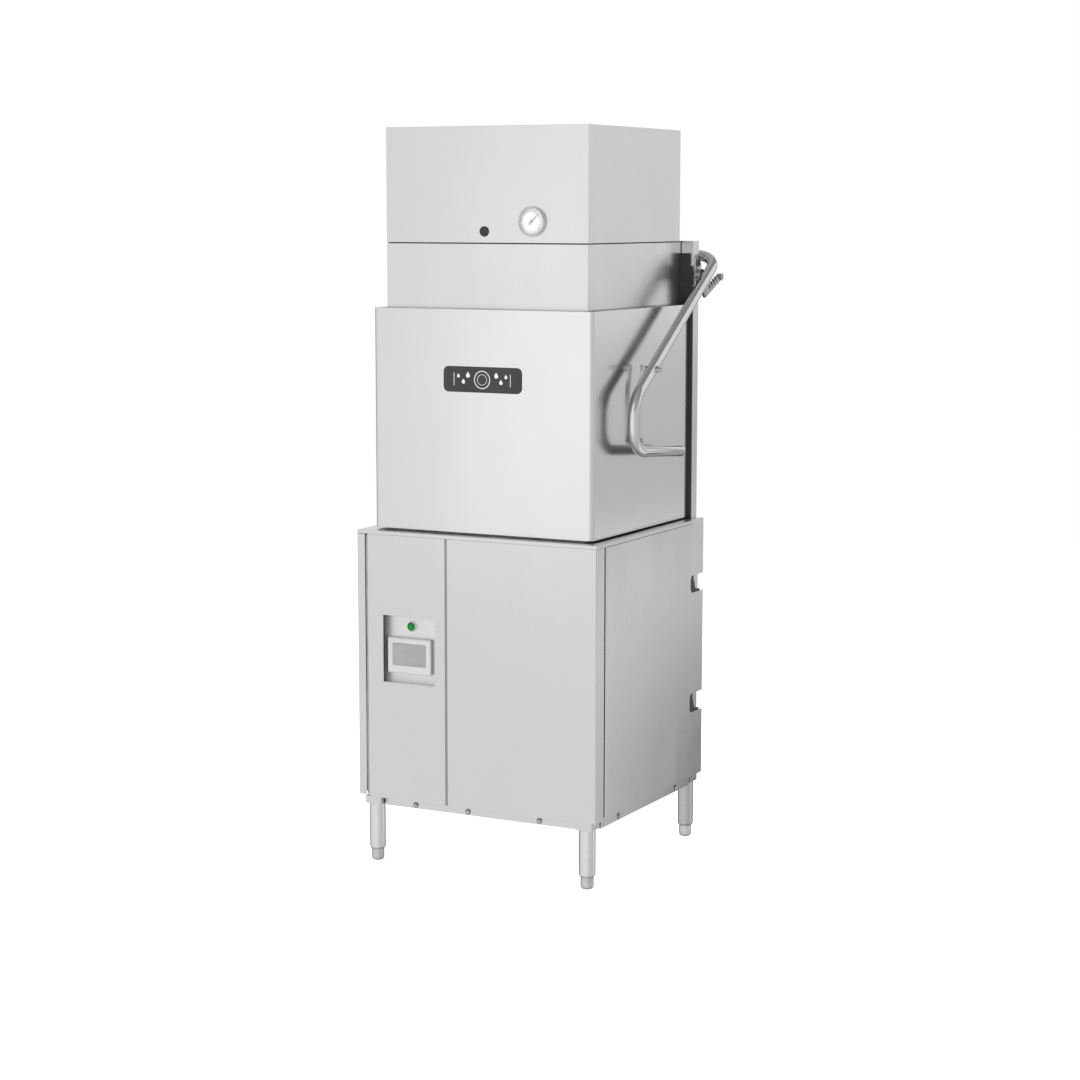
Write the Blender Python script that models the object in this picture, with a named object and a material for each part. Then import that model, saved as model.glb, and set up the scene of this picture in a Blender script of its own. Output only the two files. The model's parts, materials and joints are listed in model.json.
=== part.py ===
"""Hood-type commercial dishwasher with a ventless heat-recovery box on top.

Units are metres, +Z up, front towards -Y. The origin is the middle of the floor area that the
machine covers. Depths are given behind the cabinet's front face and turned into Y by back().
"""
import math

import bmesh
import bpy
from mathutils import Matrix, Vector

# ---- driving dimensions -------------------------------------------------------------------
GAP = 0.0003                 # clearance between pieces that touch
SHEET = 0.0015               # stainless sheet
CAB_HALF = 0.340             # cabinet half width
CAB_DEPTH = 0.642            # cabinet depth
TABLE_Z = 0.864              # top of the tank deck, level with dish tables
LIP_Z = 0.855                # bottom of the deck's turned-down lip
PANEL_Z = 0.1725             # bottom of the front panels
SIDE_Z = (0.176, 0.854)      # side panels, bottom and top
SKIRT_Z = 0.148              # bottom of the base frame's skirt rails
FRONT_SKIRT = 0.0256         # depth of the front skirt behind the panels
SIDE_SKIRT = 0.326           # outer face of the side skirt rails
POST_X = (0.289, 0.314)      # frame posts, inner and outer face
SHOE_X = (0.2805, 0.3255)    # square shoes over the legs
SHOE_HALF = 0.0225
OVERALL_DEPTH = 0.767        # front panel to the tips of the spring levers
LEG_X = 0.303
LEG_DEPTHS = {"front": 0.0293, "rear": 0.6235}
LEG_R = 0.02065
HOOD_HALF = 0.310
HOOD_DEPTH = (0.0366, 0.603)
HOOD_Z = (0.869, 1.427)
BODY_HALF = 0.283            # fixed upper chamber
BODY_DEPTH = (0.063, 0.6051)
BODY_Z = (1.312, 1.588)
TOP_HALF = 0.2836            # heat-recovery box
TOP_DEPTH = (0.063, 0.599)
TOP_Z = (1.5908, 1.876)
COLUMN_X = (0.274, 0.319)
COLUMN_DEPTH = (0.610, 0.642)
COLUMN_TOP = 1.592
GUIDE_X = (0.2835, 0.319)
GUIDE_NOTCH = 0.310          # outer edge above the pivot bracket
GUIDE_DEPTH = (0.6037, 0.6097)
GUIDE_TOP = 1.560
BASIN_HALF = 0.270           # inside of the wash tank
BASIN_DEPTH = (0.070, 0.598)
BASIN_FLOOR = 0.620
SPINDLE_DEPTH = 0.330        # axis of the spray arms behind the front
ARM_SLOPE = math.radians(33.9)
TUBE_R = 0.014               # handle tube
TUBE_X = 0.355               # side arms of the handle
PIVOT = (0.618, 1.5044)      # handle pivot: depth, height
CROSS_TUBE = (0.691, 1.5535)
UPPER_BEND = 0.064           # bend between an arm and the cross tube
LIFT_BOLT = (0.280, 1.2772)
HOOD_STUD = (0.276, 1.0975)
PIN_R = 0.0062
SPRING_X = 0.262
SPRING_DEPTH = 0.6925
SPRING_Z = (0.8003, 1.5390)
ANCHOR_Z = 0.800
RECESS_X = (-0.265, -0.1135)
RECESS_Z = (0.477, 0.6495)
RECESS_DEPTH = 0.021
BUTTON = (-0.1917, 0.622)
GAUGE = (0.131, 1.643)
PLUG = (-0.003, 1.6185)
BADGE_X = (-0.1045, 0.1155)
BADGE_Z = (1.222, 1.286)
BADGE_R = 0.014
SIDES = {"left": -1, "right": 1}

FRONT_Y = -OVERALL_DEPTH / 2


def back(depth):
    """World Y of a point that lies this far behind the cabinet's front face."""
    return FRONT_Y + depth


# ---- materials ----------------------------------------------------------------------------
def finish(name, colour, roughness, metallic):
    material = bpy.data.materials.new(name)
    material.use_nodes = True
    shader = material.node_tree.nodes["Principled BSDF"]
    shader.inputs["Base Color"].default_value = (*colour, 1.0)
    shader.inputs["Roughness"].default_value = roughness
    shader.inputs["Metallic"].default_value = metallic
    return material


FINISHES = {
    "panel_steel": ((0.66, 0.67, 0.68), 0.32, 1.0),
    "hood_steel": ((0.70, 0.72, 0.74), 0.26, 1.0),
    "polished_tube": ((0.72, 0.72, 0.71), 0.15, 1.0),
    "cast_steel": ((0.50, 0.51, 0.51), 0.45, 1.0),
    "galvanised": ((0.55, 0.57, 0.58), 0.45, 1.0),
    "black_polymer": ((0.012, 0.012, 0.013), 0.5, 0.0),
    "grey_polymer": ((0.62, 0.63, 0.65), 0.45, 0.0),
    "screen_glass": ((0.36, 0.37, 0.38), 0.15, 0.0),
    "green_lens": ((0.01, 0.42, 0.10), 0.25, 0.0),
    "dial_white": ((0.88, 0.88, 0.87), 0.4, 0.0),
    "motor_paint": ((0.10, 0.12, 0.15), 0.5, 0.0),
    "copper": ((0.72, 0.42, 0.28), 0.3, 1.0),
    "badge_black": ((0.02, 0.02, 0.022), 0.4, 0.0),
}


# ---- modelling tools ----------------------------------------------------------------------
def make(name, bm, material, smooth_angle=None):
    bmesh.ops.recalc_face_normals(bm, faces=bm.faces)
    mesh = bpy.data.meshes.new(name)
    bm.to_mesh(mesh)
    bm.free()
    obj = bpy.data.objects.new(name, mesh)
    bpy.context.collection.objects.link(obj)
    if material:
        mesh.materials.append(bpy.data.materials[material])
    if smooth_angle:
        mesh.shade_smooth()
        mesh.set_sharp_from_angle(angle=math.radians(smooth_angle))
    return obj


def boolean(obj, tools, operation):
    """Apply each tool to the object in turn, then drop the tool."""
    for tool in tools:
        modifier = obj.modifiers.new("shape", "BOOLEAN")
        modifier.operation = operation
        modifier.solver = "EXACT"
        modifier.object = tool
        graph = bpy.context.evaluated_depsgraph_get()
        graph.update()
        result = bpy.data.meshes.new_from_object(obj.evaluated_get(graph))
        obj.modifiers.clear()
        spent = obj.data
        obj.data = result
        result.name = obj.name
        bpy.data.meshes.remove(spent)
        bpy.data.objects.remove(tool)
    return obj


def cut(obj, tools):
    return boolean(obj, tools, "DIFFERENCE")


def weld(obj, tools):
    return boolean(obj, tools, "UNION")


def block(name, x, depth, z, material=None):
    """A box from ranges of X, depth behind the front, and Z."""
    bm = bmesh.new()
    bmesh.ops.create_cube(bm, size=1.0)
    size = (x[1] - x[0], depth[1] - depth[0], z[1] - z[0])
    centre = ((x[0] + x[1]) / 2, back((depth[0] + depth[1]) / 2), (z[0] + z[1]) / 2)
    bmesh.ops.scale(bm, vec=size, verts=bm.verts)
    bmesh.ops.translate(bm, vec=centre, verts=bm.verts)
    return make(name, bm, material)


def prism(name, outline, axis, span, material=None, smooth_angle=None):
    """Extrude a closed outline: (x, depth) along Z, (x, z) along Y, or (depth, z) along X."""
    place = {
        "Z": lambda a, b, c: (a, back(b), c),
        "Y": lambda a, b, c: (a, back(c), b),
        "X": lambda a, b, c: (c, back(a), b),
    }[axis]
    bm = bmesh.new()
    face = bm.faces.new([bm.verts.new(place(a, b, span[0])) for a, b in outline])
    extruded = bmesh.ops.extrude_face_region(bm, geom=[face])
    moved = [item for item in extruded["geom"] if isinstance(item, bmesh.types.BMVert)]
    offset = Vector(place(0, 0, span[1])) - Vector(place(0, 0, span[0]))
    bmesh.ops.translate(bm, vec=offset, verts=moved)
    return make(name, bm, material, smooth_angle)


def rounded(corners, steps=4):
    """Turn (point, radius) corners of an open 2-D path into points with arcs."""
    path = []
    for index, (corner, radius) in enumerate(corners):
        corner = Vector(corner)
        if radius == 0 or index in (0, len(corners) - 1):
            path.append(corner)
            continue
        before = (Vector(corners[index - 1][0]) - corner).normalized()
        after = (Vector(corners[index + 1][0]) - corner).normalized()
        half = before.angle(after) / 2
        reach = radius / math.tan(half)
        centre = corner + (before + after).normalized() * radius / math.sin(half)
        start = corner + before * reach - centre
        end = corner + after * reach - centre
        turn = start.angle(end)
        for step in range(steps + 1):
            share = step / steps
            weight = (math.sin((1 - share) * turn), math.sin(share * turn))
            path.append(centre + (start * weight[0] + end * weight[1]) / math.sin(turn))
    return path


def folded(path, thickness):
    """Close a 2-D path into the outline of a sheet that lies on the path's left side."""
    inner = []
    for index, point in enumerate(path):
        ahead = path[min(index + 1, len(path) - 1)] - path[max(index, 0)]
        behind = path[index] - path[max(index - 1, 0)]
        ahead = ahead if ahead.length else behind
        behind = behind if behind.length else ahead
        normals = [Vector((-side.y, side.x)).normalized() for side in (behind, ahead)]
        middle = (normals[0] + normals[1]).normalized()
        inner.append(point + middle * thickness / middle.dot(normals[0]))
    return list(path) + inner[::-1]


def sheet(name, corners, z, material, thickness=SHEET):
    return prism(name, folded(rounded(corners), thickness), "Z", z, material, 30)


def sweep(name, path, radius, material, sides=14):
    """A solid round bar along a 3-D path given as world points."""
    bm = bmesh.new()
    points = [Vector(point) for point in path]
    normal = (points[1] - points[0]).orthogonal().normalized()
    rings = []
    for index, point in enumerate(points):
        ahead = points[min(index + 1, len(points) - 1)] - point
        behind = point - points[max(index - 1, 0)]
        tangent = (ahead.normalized() + behind.normalized()).normalized()
        normal = (normal - tangent * normal.dot(tangent)).normalized()
        side = tangent.cross(normal)
        rings.append([bm.verts.new(point + (normal * math.cos(a) + side * math.sin(a)) * radius)
                      for a in (2 * math.pi * k / sides for k in range(sides))])
    for ring, following in zip(rings, rings[1:]):
        for k in range(sides):
            n = (k + 1) % sides
            bm.faces.new((ring[k], ring[n], following[n], following[k]))
    bm.faces.new(rings[0][::-1])
    bm.faces.new(rings[-1])
    return make(name, bm, material, 40)


def turned(name, profile, centre, axis, material, sides=24, closed=False):
    """Turn (radius, along) points about an axis through centre; closed makes a ring."""
    turn = {"Z": Matrix(), "X": Matrix.Rotation(math.pi / 2, 4, "Y"),
            "Y": Matrix.Rotation(-math.pi / 2, 4, "X")}[axis]
    place = Matrix.Translation(centre) @ turn
    bm = bmesh.new()
    rings = []
    for radius, along in profile:
        if radius == 0:
            rings.append([bm.verts.new(place @ Vector((0, 0, along)))])
            continue
        rings.append([bm.verts.new(place @ Vector((radius * math.cos(a), radius * math.sin(a), along)))
                      for a in (2 * math.pi * k / sides for k in range(sides))])
    pairs = list(zip(rings, rings[1:]))
    if closed:
        pairs.append((rings[-1], rings[0]))
    for ring, following in pairs:
        for k in range(sides):
            n = (k + 1) % sides
            corners = [ring[k % len(ring)], ring[n % len(ring)],
                       following[n % len(following)], following[k % len(following)]]
            bm.faces.new(list(dict.fromkeys(corners)))
    if not closed:
        for ring in (rings[0], rings[-1]):
            if len(ring) > 1:
                bm.faces.new(ring)
    return make(name, bm, material, 40)


def round_bar(name, radius, centre, axis, span, material=None, sides=24):
    """A plain cylinder; span is measured along the axis from centre."""
    return turned(name, [(radius, span[0]), (radius, span[1])], centre, axis, material, sides)


def arc_points(middle, radius, start, end, steps):
    turns = [start + (end - start) * k / steps for k in range(steps + 1)]
    return [(middle[0] + radius * math.cos(t), middle[1] + radius * math.sin(t)) for t in turns]


# ---- base and cabinet ---------------------------------------------------------------------
def base_frame():
    post_depths = {"front": (0.026, 0.051), "rear": (0.609, 0.634)}
    pieces = []
    for sign in SIDES.values():
        inner, outer = sorted((sign * POST_X[0], sign * POST_X[1]))
        for place, depths in post_depths.items():
            pieces.append(block("post", (inner, outer), depths, (0.171, 0.861)))
            shoe = LEG_DEPTHS[place]
            pieces.append(block("shoe", sorted((sign * SHOE_X[0], sign * SHOE_X[1])),
                                (shoe - SHOE_HALF, shoe + SHOE_HALF), (0.1516, 0.1718)))
        low, high = sorted((sign * 0.300, sign * SIDE_SKIRT))
        pieces.append(block("skirt", (low, high), (0.058, 0.595), (SKIRT_Z, 0.1722)))
        pieces.append(block("sill", (low, high), (FRONT_SKIRT, 0.636), (0.1715, 0.190)))
        pieces.append(block("top_rail", (inner, outer), (0.040, 0.620), (0.836, 0.8605)))
    for depths in ((FRONT_SKIRT, 0.0506), (0.6095, 0.636)):
        pieces.append(block("skirt", (-0.277, 0.277), depths, (SKIRT_Z, 0.1722)))
        pieces.append(block("sill", (-0.3005, 0.3005), depths, (0.1712, 0.1898)))
    pieces.append(block("top_rail", (-0.300, 0.300), (0.0262, 0.0508), (0.8362, 0.8603)))
    pieces.append(block("top_rail", (-0.300, 0.300), (0.6092, 0.6338), (0.8362, 0.8603)))
    frame = weld(pieces[0], pieces[1:])
    frame.name = frame.data.name = "base_frame"
    frame.data.materials.clear()
    frame.data.materials.append(bpy.data.materials["panel_steel"])


def legs():
    tube = [(LEG_R, 0.1513), (LEG_R, 0.0352), (0.0175, 0.0312), (0.0090, 0.0312),
            (0.0090, 0.045), (0.0185, 0.045), (0.0185, 0.1513)]
    foot = [(0.0, 0.100), (0.0080, 0.100), (0.0080, 0.0306), (0.0165, 0.0306), (0.0165, 0.007),
            (0.0145, 0.0022), (0.0105, 0.0), (0.0, 0.0)]
    for side, sign in SIDES.items():
        for place, depth in LEG_DEPTHS.items():
            foot_at = (sign * LEG_X, back(depth), 0)
            turned(f"leg_{place}_{side}", tube, foot_at, "Z", "polished_tube", 20, closed=True)
            turned(f"foot_{place}_{side}", foot, foot_at, "Z", "cast_steel", 16)


def side_panels():
    left = sheet("side_panel_left", [((-0.340, 0.642), 0), ((-0.340, 0.0), 0.003), ((-0.3176, 0.0), 0)],
                 SIDE_Z, "panel_steel")
    right = sheet("side_panel_right", [((0.326, 0.0562), 0), ((0.340, 0.0562), 0.003), ((0.340, 0.642), 0)],
                  SIDE_Z, "panel_steel")
    for panel, face in ((left, -CAB_HALF), (right, CAB_HALF)):
        for low, high in ((0.350, 0.400), (0.671, 0.717)):
            slot = rounded([((0.660, high), 0), ((0.562, high), 0.012), ((0.562, low), 0.012),
                            ((0.660, low), 0)])
            cut(panel, [prism("slot", slot, "X", (face - 0.01, face + 0.01))])


def front_panels():
    control = sheet("control_panel", [((-0.311, 0.020), 0), ((-0.311, 0.0), 0.002),
                                      ((-0.0843, 0.0), 0.002), ((-0.0843, 0.015), 0)],
                    (PANEL_Z, LIP_Z - GAP), "panel_steel")
    cut(control, [block("window", RECESS_X, (-0.01, 0.01), RECESS_Z)])
    sheet("access_panel", [((-0.079, 0.015), 0), ((-0.079, 0.0), 0.002), ((0.340, 0.0), 0.004),
                           ((0.340, 0.0456), 0.002), ((0.326, 0.0456), 0)],
          (PANEL_Z, LIP_Z - GAP), "panel_steel")


def rear_panel():
    """Flat sheet whose side edges turn forward behind the cutouts in the side panels."""
    sheet("rear_panel", [((0.328, 0.608), 0), ((0.328, 0.636), 0.002), ((-0.328, 0.636), 0.002),
                         ((-0.328, 0.608), 0)], (0.320, 0.834), "panel_steel")


def controls():
    x, z, floor = RECESS_X, RECESS_Z, RECESS_DEPTH
    lip = 0.010
    pan = block("control_recess", (x[0] - SHEET, x[1] + SHEET), (SHEET + GAP, floor + SHEET),
                (z[0] - SHEET, z[1] + SHEET), "panel_steel")
    flange = block("flange", (x[0] - lip, x[1] + lip), (SHEET + GAP, 2 * SHEET + GAP),
                   (z[0] - lip, z[1] + lip))
    weld(pan, [flange])
    cut(pan, [block("hollow", x, (0.0, floor), z),
              round_bar("button_hole", 0.0085, (BUTTON[0], back(floor), BUTTON[1]), "Y", (-0.01, 0.01))])
    bezel_outline = rounded([((-0.1945, 0.5005), 0), ((-0.131, 0.5005), 0.004), ((-0.131, 0.592), 0.004),
                             ((-0.258, 0.592), 0.004), ((-0.258, 0.5005), 0.004), ((-0.1946, 0.5005), 0)])
    bezel = prism("hmi_bezel", bezel_outline, "Y", (0.009, floor - GAP), "grey_polymer")
    cut(bezel, [block("screen_well", (-0.2430, -0.1465), (0.0, 0.0130), (0.5215, 0.5775))])
    block("hmi_screen", (-0.2425, -0.1470), (0.0100, 0.0127), (0.5220, 0.5770), "screen_glass")
    at = (BUTTON[0], back(floor), BUTTON[1])
    turned("button_collar", [(0.0128, -GAP), (0.0128, -0.0035), (0.0118, -0.0048), (0.0104, -0.0048),
                             (0.0104, -GAP)], at, "Y", "polished_tube", closed=True)
    turned("power_button", [(0.0, 0.006), (0.0078, 0.006), (0.0078, -0.0038), (0.0100, -0.0038),
                            (0.0100, -0.0072), (0.0085, -0.0084), (0.0, -0.0088)], at, "Y",
           "green_lens", 20)


# ---- wash tank and what stands in it --------------------------------------------------------
def wash_tank():
    wall = 0.002
    tank = block("wash_tank", (-CAB_HALF, CAB_HALF), (0.0, CAB_DEPTH), (LIP_Z, TABLE_Z), "panel_steel")
    basin = block("basin", (-BASIN_HALF - wall, BASIN_HALF + wall),
                  (BASIN_DEPTH[0] - wall, BASIN_DEPTH[1] + wall), (BASIN_FLOOR, TABLE_Z - SHEET / 2))
    rim = CAB_HALF - SHEET
    under = block("under", (-rim, rim), (SHEET, CAB_DEPTH - SHEET), (LIP_Z - 0.01, TABLE_Z - SHEET))
    cut(tank, [under])
    weld(tank, [basin])
    inside = block("inside", (-BASIN_HALF, BASIN_HALF), BASIN_DEPTH, (BASIN_FLOOR + wall, TABLE_Z + 0.01))
    drain = round_bar("drain", 0.022, (-0.235, back(0.545), BASIN_FLOOR), "Z", (-0.01, 0.01))
    suction = round_bar("suction", 0.018, (0.120, back(SPINDLE_DEPTH), BASIN_FLOOR), "Z", (-0.01, 0.01))
    cut(tank, [inside, drain, suction])


def rack_track():
    rails = []
    for flat, upright in (((0.064, 0.092), (0.064, 0.0655)), ((0.574, 0.601), (0.5995, 0.601))):
        rails.append(block("rail", (-0.279, 0.279), flat, (TABLE_Z + GAP, 0.8675)))
        rails.append(block("rail", (-0.279, 0.279), upright, (0.8660, 0.892)))
    for sign in SIDES.values():
        low, high = sorted((sign * 0.240, sign * 0.252))
        rails.append(block("tie", (low, high), (0.080, 0.590), (0.8646, 0.8672)))
    track = weld(rails[0], rails[1:])
    cut(track, [block("riser_notch", (-0.019, 0.019), (0.560, 0.598), (0.860, 0.870))])
    track.name = track.data.name = "rack_track"
    track.data.materials.clear()
    track.data.materials.append(bpy.data.materials["polished_tube"])


def spray_system():
    at = (0.0, back(SPINDLE_DEPTH), 0.0)
    y, rear = back(SPINDLE_DEPTH), back(0.580)
    manifold = turned("wash_manifold", [(0.016, 0.6223), (0.016, 0.795), (0.0090, 0.800), (0.0090, 0.864)],
                      at, "Z", "polished_tube", 14)
    corners = rounded([((y, 0.745), 0), ((rear, 0.745), 0.035), ((rear, 1.345), 0.035),
                       ((y, 1.345), 0.018), ((y, 1.3235), 0)], 5)
    lead = sweep("riser", [(0.0, p.x, p.y) for p in corners], 0.0159, None, 12)
    nose = turned("nose", [(0.0090, 1.330), (0.0090, 1.262)], at, "Z", None, 20)
    weld(manifold, [lead, nose])
    arm("lower_wash_arm", at, (0.806, 0.832), 0.215, 0.014)
    arm("lower_rinse_arm", at, (0.840, 0.856), 0.200, 0.007)
    arm("upper_wash_arm", at, (1.294, 1.320), 0.215, 0.014)
    arm("upper_rinse_arm", at, (1.270, 1.286), 0.200, 0.007)


def arm(name, at, z, reach, half_width):
    """A two-ended spray arm on a hub, with jets in its upper or lower face."""
    middle = (z[0] + z[1]) / 2
    half_height = (z[1] - z[0]) / 2 - 0.003
    outline = rounded([((-reach, SPINDLE_DEPTH), 0),
                       ((-reach, SPINDLE_DEPTH - half_width), half_width * 0.7),
                       ((reach, SPINDLE_DEPTH - half_width), half_width * 0.7),
                       ((reach, SPINDLE_DEPTH + half_width), half_width * 0.7),
                       ((-reach, SPINDLE_DEPTH + half_width), half_width * 0.7),
                       ((-reach, SPINDLE_DEPTH + 0.0001), 0)], 3)
    spray = prism(name, outline, "Z", (middle - half_height, middle + half_height), "polished_tube", 30)
    weld(spray, [round_bar("hub", 0.020, at, "Z", z)])
    cut(spray, [round_bar("bore", 0.0093, at, "Z", (z[0] - 0.01, z[1] + 0.01), sides=20)])
    jets = [block("jet", (place - 0.006, place + 0.006), (SPINDLE_DEPTH - 0.0015, SPINDLE_DEPTH + 0.0015),
                  jet_face(middle, half_height)) for place in jet_places(reach)]
    cut(spray, jets)


def jet_places(reach):
    return [sign * reach * share for sign in (-1, 1) for share in (0.3, 0.5, 0.7, 0.9)]


def jet_face(middle, half_height):
    """The lower arms spray up and the upper arms spray down."""
    inner_way = 1 if middle < 1.0 else -1
    return sorted((middle + inner_way * (half_height - 0.002), middle + inner_way * (half_height + 0.004)))


def tank_fittings():
    turned("drain_standpipe", [(0.016, 0.6235), (0.016, 0.800), (0.013, 0.800), (0.013, 0.6235)],
           (-0.235, back(0.545), 0.0), "Z", "polished_tube", 20, closed=True)
    basket = block("scrap_basket", (0.150, 0.262), (0.080, 0.170), (0.700, 0.800), "polished_tube")
    cut(basket, [block("inside", (0.152, 0.260), (0.082, 0.168), (0.702, 0.85))])
    loop = [((-0.232, back(0.100), 0.652)), (-0.232, back(0.470), 0.652)]
    far = [(-0.190, back(0.470), 0.652), (-0.190, back(0.100), 0.652)]
    bend = [(-0.211 - 0.021 * math.cos(t), back(0.470) + 0.021 * math.sin(t), 0.652)
            for t in (math.pi * k / 8 for k in range(1, 8))]
    sweep("tank_heater", loop + bend + far, 0.005, "copper", 10)


# ---- machinery under the tank -----------------------------------------------------------------
def machinery():
    y = back(SPINDLE_DEPTH)
    axis_at = (0.0, y, 0.500)
    volute = turned("wash_pump", [(0.078, -0.035), (0.082, 0.0), (0.078, 0.035), (0.022, 0.035),
                                  (0.022, 0.028), (0.062, 0.028), (0.062, -0.026), (0.0105, -0.026),
                                  (0.0105, -0.035)], axis_at, "X", "cast_steel", 20, closed=True)
    outlet = turned("outlet", [(0.020, 0.570), (0.020, BASIN_FLOOR - GAP)], (0.0, y, 0.0), "Z", None, 20)
    weld(volute, [outlet])
    turned("pump_impeller", [(0.0, 0.020), (0.018, 0.020), (0.055, -0.008), (0.055, -0.018),
                             (0.0100, -0.018), (0.0100, -0.075), (0.0, -0.075)], axis_at, "X",
           "cast_steel", 24)
    turned("pump_motor", [(0.0, -0.230), (0.060, -0.230), (0.064, -0.215), (0.064, -0.048),
                          (0.058, -0.0353), (0.0103, -0.0353), (0.0103, -0.080), (0.0, -0.080)],
           axis_at, "X", "motor_paint", 20)
    turned("booster_tank", [(0.0, 0.563), (0.078, 0.558), (0.092, 0.543), (0.092, 0.210), (0.095, 0.210),
                            (0.095, 0.545), (0.080, 0.562), (0.0, 0.567)],
           (0.180, back(0.430), 0.0), "Z", "galvanised", 28)
    drain = rounded([((0.545, BASIN_FLOOR - GAP), 0), ((0.545, 0.270), 0.045), ((0.655, 0.270), 0)], 6)
    sweep("drain_pipe", [(-0.235, back(p.x), p.y) for p in drain], 0.0215, "galvanised", 12)


# ---- columns, chamber and heat-recovery box -----------------------------------------------------
def columns():
    for side, sign in SIDES.items():
        low, high = (sign * limit for limit in COLUMN_X)
        channel = [((low, COLUMN_DEPTH[1]), 0), ((low, COLUMN_DEPTH[0]), 0.002),
                   ((high, COLUMN_DEPTH[0]), 0.002), ((high, COLUMN_DEPTH[1]), 0)]
        if sign < 0:
            channel.reverse()
        sheet(f"column_{side}", channel, (TABLE_Z + GAP, COLUMN_TOP), "panel_steel", 0.002)
        inner, outer, notch = (sign * limit for limit in (*GUIDE_X, GUIDE_NOTCH))
        face = [(inner, TABLE_Z + GAP), (outer, TABLE_Z + GAP), (outer, 1.528), (notch, 1.528),
                (notch, GUIDE_TOP), (inner, GUIDE_TOP)]
        prism(f"door_guide_{side}", face, "Y", GUIDE_DEPTH, "black_polymer")


def pivot_brackets():
    inner, outer, pin_end = 0.3194, 0.3240, 0.3395
    plate = [(0.6105, 1.465), (0.6105, 1.548), (0.634, 1.548), (0.642, 1.542), (0.658, 1.500),
             (0.652, 1.465)]
    for side, sign in SIDES.items():
        span = sorted((sign * inner, sign * outer))
        bracket = prism(f"pivot_bracket_{side}", plate, "X", span, "panel_steel")
        at = (0.0, back(PIVOT[0]), PIVOT[1])
        pin_span = sorted((sign * (inner + 0.001), sign * pin_end))
        weld(bracket, [round_bar("pin", PIN_R, at, "X", pin_span, sides=24)])


def chamber():
    body = block("upper_chamber", (-BODY_HALF, BODY_HALF), BODY_DEPTH, BODY_Z, "hood_steel")
    inner = BODY_HALF - SHEET
    cut(body, [block("hollow", (-inner, inner), (BODY_DEPTH[0] + SHEET, BODY_DEPTH[1] - SHEET),
                     (BODY_Z[0] - 0.01, BODY_Z[1] - SHEET)),
               block("steam_opening", (-0.150, 0.150), (0.200, 0.420), (BODY_Z[1] - 0.01, BODY_Z[1] + 0.01))])
    block("chamber_back", (-BODY_HALF, BODY_HALF), (0.6036, 0.6051), (TABLE_Z + GAP, BODY_Z[0] - GAP),
          "hood_steel")


def heat_recovery():
    cover = block("heat_recovery_cover", (-TOP_HALF, TOP_HALF), TOP_DEPTH, TOP_Z, "panel_steel")
    inner = TOP_HALF - SHEET
    cut(cover, [block("hollow", (-inner, inner), (TOP_DEPTH[0] + SHEET, TOP_DEPTH[1] - SHEET),
                      (TOP_Z[0] - 0.01, TOP_Z[1] - SHEET)),
                block("outlet", (-0.080, 0.080), (TOP_DEPTH[1] - 0.01, TOP_DEPTH[1] + 0.01), (1.735, 1.825)),
                round_bar("plug_hole", 0.0105, (PLUG[0], back(TOP_DEPTH[0]), PLUG[1]), "Y", (-0.01, 0.01)),
                round_bar("stem_hole", 0.0105, (GAUGE[0], back(TOP_DEPTH[0]), GAUGE[1]), "Y", (-0.01, 0.01))])
    condenser()
    centre = (0.0, back(0.460), 1.780)
    scroll = arc_points((0.460, 1.780), 0.082, math.radians(50), math.radians(330), 20)
    outline = scroll + [(0.5965, 1.739), (0.5965, 1.821)]
    housing = prism("blower_housing", outline, "X", (-0.076, 0.076), "galvanised", 30)
    cut(housing, [round_bar("hollow", 0.074, centre, "X", (-0.074, 0.074), sides=28),
                  round_bar("inlet", 0.050, centre, "X", (-0.09, 0.09), sides=28),
                  block("throat", (-0.074, 0.074), (0.480, 0.60), (1.742, 1.818))])
    turned("blower_wheel", [(0.062, -0.060), (0.066, -0.060), (0.066, 0.060), (0.062, 0.060), (0.062, 0.003),
                            (0.010, 0.003), (0.010, 0.030), (0.0042, 0.030), (0.0042, -0.030),
                            (0.010, -0.030), (0.010, -0.003), (0.062, -0.003)],
           centre, "X", "galvanised", 20, closed=True)
    shaft = round_bar("blower_shaft", 0.0040, centre, "X", (-0.100, 0.100), "galvanised", 16)
    feet = [block("stay", (sign * 0.094 - 0.006, sign * 0.094 + 0.006), (0.454, 0.466), (1.672, 1.783))
            for sign in SIDES.values()]
    feet.append(block("stay", (-0.100, 0.100), (0.450, 0.470), (1.668, 1.673)))
    weld(shaft, feet)


def condenser():
    """Rows of tube between two end plates, behind the front of the heat-recovery box."""
    outer, plate = 0.230, 0.003
    plates = [block("plate", sorted((sign * outer, sign * (outer - plate))), (0.120, 0.300), (1.600, 1.820),
                    "copper") for sign in SIDES.values()]
    run = (plate / 2 - outer, outer - plate / 2)
    tubes = [round_bar("tube", 0.008, (0.0, back(depth), z), "X", run, sides=10)
             for depth in (0.150, 0.210, 0.270) for z in (1.640, 1.710, 1.780)]
    coil = weld(plates[0], tubes + [plates[1]])
    coil.name = coil.data.name = "condenser_coil"


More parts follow.
